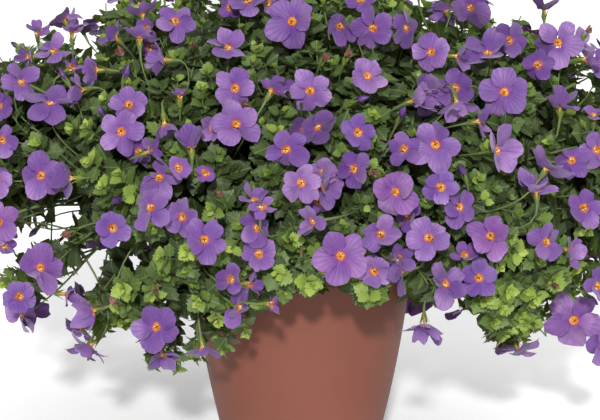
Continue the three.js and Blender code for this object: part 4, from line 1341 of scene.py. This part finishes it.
def mottled_material(name, stops, scale, detail, roughness):
    """One ramp of colours, mottled by a noise of this scale."""
    material, tree, shader = node_material(name)
    colour = ramp(tree, noise(tree, scale, detail), stops)
    feed(tree, shader.inputs, {"Base Color": colour, "Roughness": roughness})
    return material


def add_grain(material, scale, detail, strength, distance):
    tree = material.node_tree
    grain = bump(tree, noise(tree, scale, detail), strength, distance)
    feed(tree, tree.nodes["Principled BSDF"].inputs, {"Normal": grain})


LEAF = leaf_material()
PETAL = petal_material()
TUBE = tube_material()
STAMEN = stamen_material()
POT = pot_material()
SOIL = soil_material()
STEM = mottled_material("stem", [
    (0.3, (0.07, 0.115, 0.032)), (0.55, (0.11, 0.145, 0.045)), (0.75, (0.14, 0.10, 0.055))], 90, 3, 0.6)
WITHERED = mottled_material("withered", [
    (0.3, (0.06, 0.022, 0.018)), (0.5, (0.16, 0.065, 0.045)), (0.7, (0.26, 0.14, 0.11))], 300, 3, 0.8)
BUD = mottled_material("bud", [(0.35, (0.03, 0.01, 0.06)), (0.7, (0.10, 0.03, 0.17))], 350, 2, 0.5)
add_grain(STEM, 700, 2, 0.3, 0.0003)
add_grain(WITHERED, 800, 3, 0.6, 0.0005)


# The flowering sprays
SHOOT_STEPS = 16
SHOOT_SIDES = 7
SHOOT_TIP_RADIUS = 0.8
SHOOT_AGE = 0.5
STEM_MARKS = point(0, 0.5, 0.5)
SPRIG_RADII = np.linspace(1.0, 0.4, SPRIG_POINTS)
LEAFY_SHOOT_END = 0.97


def numbered(name, index):
    return f"{name}_{index + 1:02d}"


def shoot_tube(growing, shoot, last):
    """A shoot from the foot of its hole in the soil to this share of its route."""
    root = shoot["route"].start.copy()
    root[2] = SOIL_TOP - HOLE_DEPTH + FIT_GAP
    path = np.vstack([root, shoot["route"].at(np.linspace(0, last, SHOOT_STEPS))])
    radii = np.concatenate([[SHOOT_RADIUS], np.linspace(SHOOT_RADIUS, SHOOT_TIP_RADIUS, SHOOT_STEPS)])
    faces = grid_faces(len(path), SHOOT_SIDES, closed=True)
    growing.add(tube_points(path, radii, SHOOT_SIDES), faces, STEM_PART, STEM_MARKS, SHOOT_AGE)


extras = small_blooms()
sprays = [(Growing(), Growing()) for _ in flowering_shoots]
for number, (petals, greens) in enumerate(sprays):
    shoot = flowering_shoots[number]
    shoot_tube(greens, shoot, 1 - (HUB_DEPTH - 3) / shoot["route"].length)
    for flower in flowers:
        if flower["shoot"] == number and not flower.get("hindmost"):
            grow_flower(petals, greens, flower)
    for bloom in extras:
        if bloom["shoot"] == number:
            bloom["grow"](petals, greens, bloom)
for flower in flowers:
    if flower.get("hindmost"):
        grow_flower(*sprays[flower["shoot"]], flower)
for number, (petals, greens) in enumerate(sprays):
    node = numbered("bloom_spray", number)
    petals.finish(f"{node}_petals", [PETAL, TUBE, STAMEN, WITHERED, BUD], [node], "petals")
    greens.finish(f"{node}_stalks", [LEAF, STEM], [node], "foliage")

# The leafy stems
foliage = grow_foliage()
for number, (shoot, batch) in enumerate(zip(leafy_shoots, foliage)):
    greens = Growing()
    shoot_tube(greens, shoot, LEAFY_SHOOT_END)
    if batch["stems"]:
        points = tubes_through(np.array(batch["stems"]), SPRIG_RADII, SPRIG_SIDES)
        faces = grid_faces(SPRIG_POINTS, SPRIG_SIDES, closed=True)
        greens.copies(points, faces, STEM_PART, STEM_MARKS, STEM_AGE)
    for kind, template in LEAF_TEMPLATES.items():
        add_leaves(greens, batch[kind], template)
    node = numbered("leafy_stem", number)
    greens.finish(f"{node}_leaves", [LEAF, STEM], [node], "foliage")


# The pot and its soil
LIP_ANGLES = (22, 45, 67, 90, 113, 135, 158, 180)
AXIS_RADIUS = 0.01
OUTSIDE_STEPS = 28
INSIDE_STEPS = 18
DRAIN_SIDES = 24
CUT_FROM = -4
CUT_TO = POT_FLOOR + 3
SOIL_SEED = 3
SOIL_SIDES = 72
SOIL_STEPS = 26
CRUMB_DEPTH = 2.6


def pot_radius_at(z):
    share = z / POT_HEIGHT
    return POT_FOOT_RADIUS + (POT_TOP_RADIUS - POT_FOOT_RADIUS) * share + POT_BULGE * 4 * share * (1 - share)


def solid_object(name, points, faces, material):
    mesh = bpy.data.meshes.new(name)
    mesh.from_pydata((points * METRES).tolist(), [], faces.tolist())
    mesh.materials.append(material)
    for polygon in mesh.polygons:
        polygon.use_smooth = True
    return placed_object(name, mesh)


def pot_profile():
    outside = [(pot_radius_at(z), z) for z in np.linspace(1.2, POT_HEIGHT - LIP_ROUND, OUTSIDE_STEPS)]
    half = POT_WALL / 2
    middle = pot_radius_at(POT_HEIGHT) - half
    lip = [(middle + half * cosine(angle), POT_HEIGHT - LIP_ROUND + LIP_ROUND * sine(angle))
           for angle in LIP_ANGLES]
    inside = [(pot_radius_at(z) - POT_WALL, z) for z in np.linspace(POT_HEIGHT - 2, POT_FLOOR, INSIDE_STEPS)]
    foot = [(AXIS_RADIUS, 0), (DRAIN_RING - 8, 0), (POT_FOOT_RADIUS - 1.2, 0)]
    return foot + outside + lip + inside + [(DRAIN_RING - 8, POT_FLOOR), (AXIS_RADIUS, POT_FLOOR)]


def cut_drains(pot):
    cutters = []
    profile = [(AXIS_RADIUS, CUT_FROM), (DRAIN_RADIUS, CUT_FROM), (DRAIN_RADIUS, CUT_TO),
               (AXIS_RADIUS, CUT_TO)]
    for i in range(DRAIN_HOLES):
        angle = 360 * (i + 0.5) / DRAIN_HOLES
        points, faces = turned(profile, DRAIN_SIDES)
        points += point(DRAIN_RING * cosine(angle), DRAIN_RING * sine(angle), 0)
        cutter = solid_object(f"cutter_{i}", points, faces, POT)
        cut = pot.modifiers.new("drain", "BOOLEAN")
        cut.operation = "DIFFERENCE"
        cut.solver = "EXACT"
        cut.object = cutter
        cutters.append(cutter)
    bpy.context.view_layer.update()
    made = bpy.data.meshes.new_from_object(pot.evaluated_get(bpy.context.evaluated_depsgraph_get()))
    pot.modifiers.clear()
    pot.data = made
    for cutter in cutters:
        bpy.data.objects.remove(cutter)


points, faces = turned(pot_profile(), POT_SIDES)
pot = solid_object("flowerpot", points, faces, POT)
cut_drains(pot)
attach(pot, "root")
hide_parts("pot")


def soil_points():
    """A crumbly top, level with the record's soil, over the body that fills the pot."""
    draw = np.random.default_rng(SOIL_SEED)
    clear = POT_WALL + FIT_GAP
    radii = np.linspace(AXIS_RADIUS, pot_radius_at(SOIL_TOP) - clear, SOIL_STEPS)
    side = [(pot_radius_at(z) - clear, z) for z in (POT_FLOOR + FIT_GAP, 40, 70, SOIL_TOP - 4)]
    profile = [(AXIS_RADIUS, POT_FLOOR + FIT_GAP)] + side + [(r, SOIL_TOP) for r in radii[::-1]]
    points, faces = turned(profile, SOIL_SIDES)
    on_top = points[:, 2] > SOIL_TOP - 1
    points[on_top, 2] -= draw.uniform(0, CRUMB_DEPTH, on_top.sum())
    return points, faces


points, faces = soil_points()
soil = solid_object("potting_soil", points, faces, SOIL)
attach(soil, "root")
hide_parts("soil")


# The floor, the light and the camera
FLOOR_HALF = 9
FLOOR_SHADE = (0.9, 0.9, 0.9)
FLOOR_GLOW = 0.23
SKY_STRENGTH = 0.24
FARTHEST_SEEN = 50
SUNS = [("high", point(-0.35, 0.7, -1), 1.35, 70), ("low", point(0.03, 1, -0.43), 3.6, 3),
        ("back", point(0.1, -0.8, -0.6), 0.7, 120)]


def aim(made, way):
    made.rotation_mode = "QUATERNION"
    made.rotation_quaternion = Vector(way).to_track_quat("-Z", "Y")


def plain_floor():
    mesh = bpy.data.meshes.new("floor")
    corners = [(x * FLOOR_HALF, y * FLOOR_HALF, 0) for x, y in ((-1, -1), (1, -1), (1, 1), (-1, 1))]
    mesh.from_pydata(corners, [], [(0, 1, 2, 3)])
    material, tree, shader = node_material("floor")
    feed(tree, shader.inputs, {"Base Color": FLOOR_SHADE, "Roughness": 0.9, "Emission Color": WHITE,
                               "Emission Strength": FLOOR_GLOW})
    mesh.materials.append(material)
    floor = placed_object("floor", mesh)


def soft_sun(name, way, strength, width):
    data = bpy.data.lights.new(name, "SUN")
    data.energy = strength
    data.angle = math.radians(width)
    aim(placed_object(name, data), unit(way))


plain_floor()
for sun in SUNS:
    soft_sun(*sun)

scene.world = bpy.data.worlds.new("studio")
scene.world.use_nodes = True
sky = scene.world.node_tree
feed(sky, sky.nodes["Background"].inputs, {0: WHITE, 1: SKY_STRENGTH})

camera_data = bpy.data.cameras.new("camera")
camera_data.sensor_width = SENSOR_WIDTH
camera_data.lens = SENSOR_WIDTH * FOCAL_PIXELS / FRAME_WIDTH
camera_data.clip_end = FARTHEST_SEEN
camera = placed_object("camera", camera_data)
camera.location = VIEW_POINT * METRES
aim(camera, -TO_CAMERA)
scene.camera = camera
scene.view_settings.view_transform = "Standard"
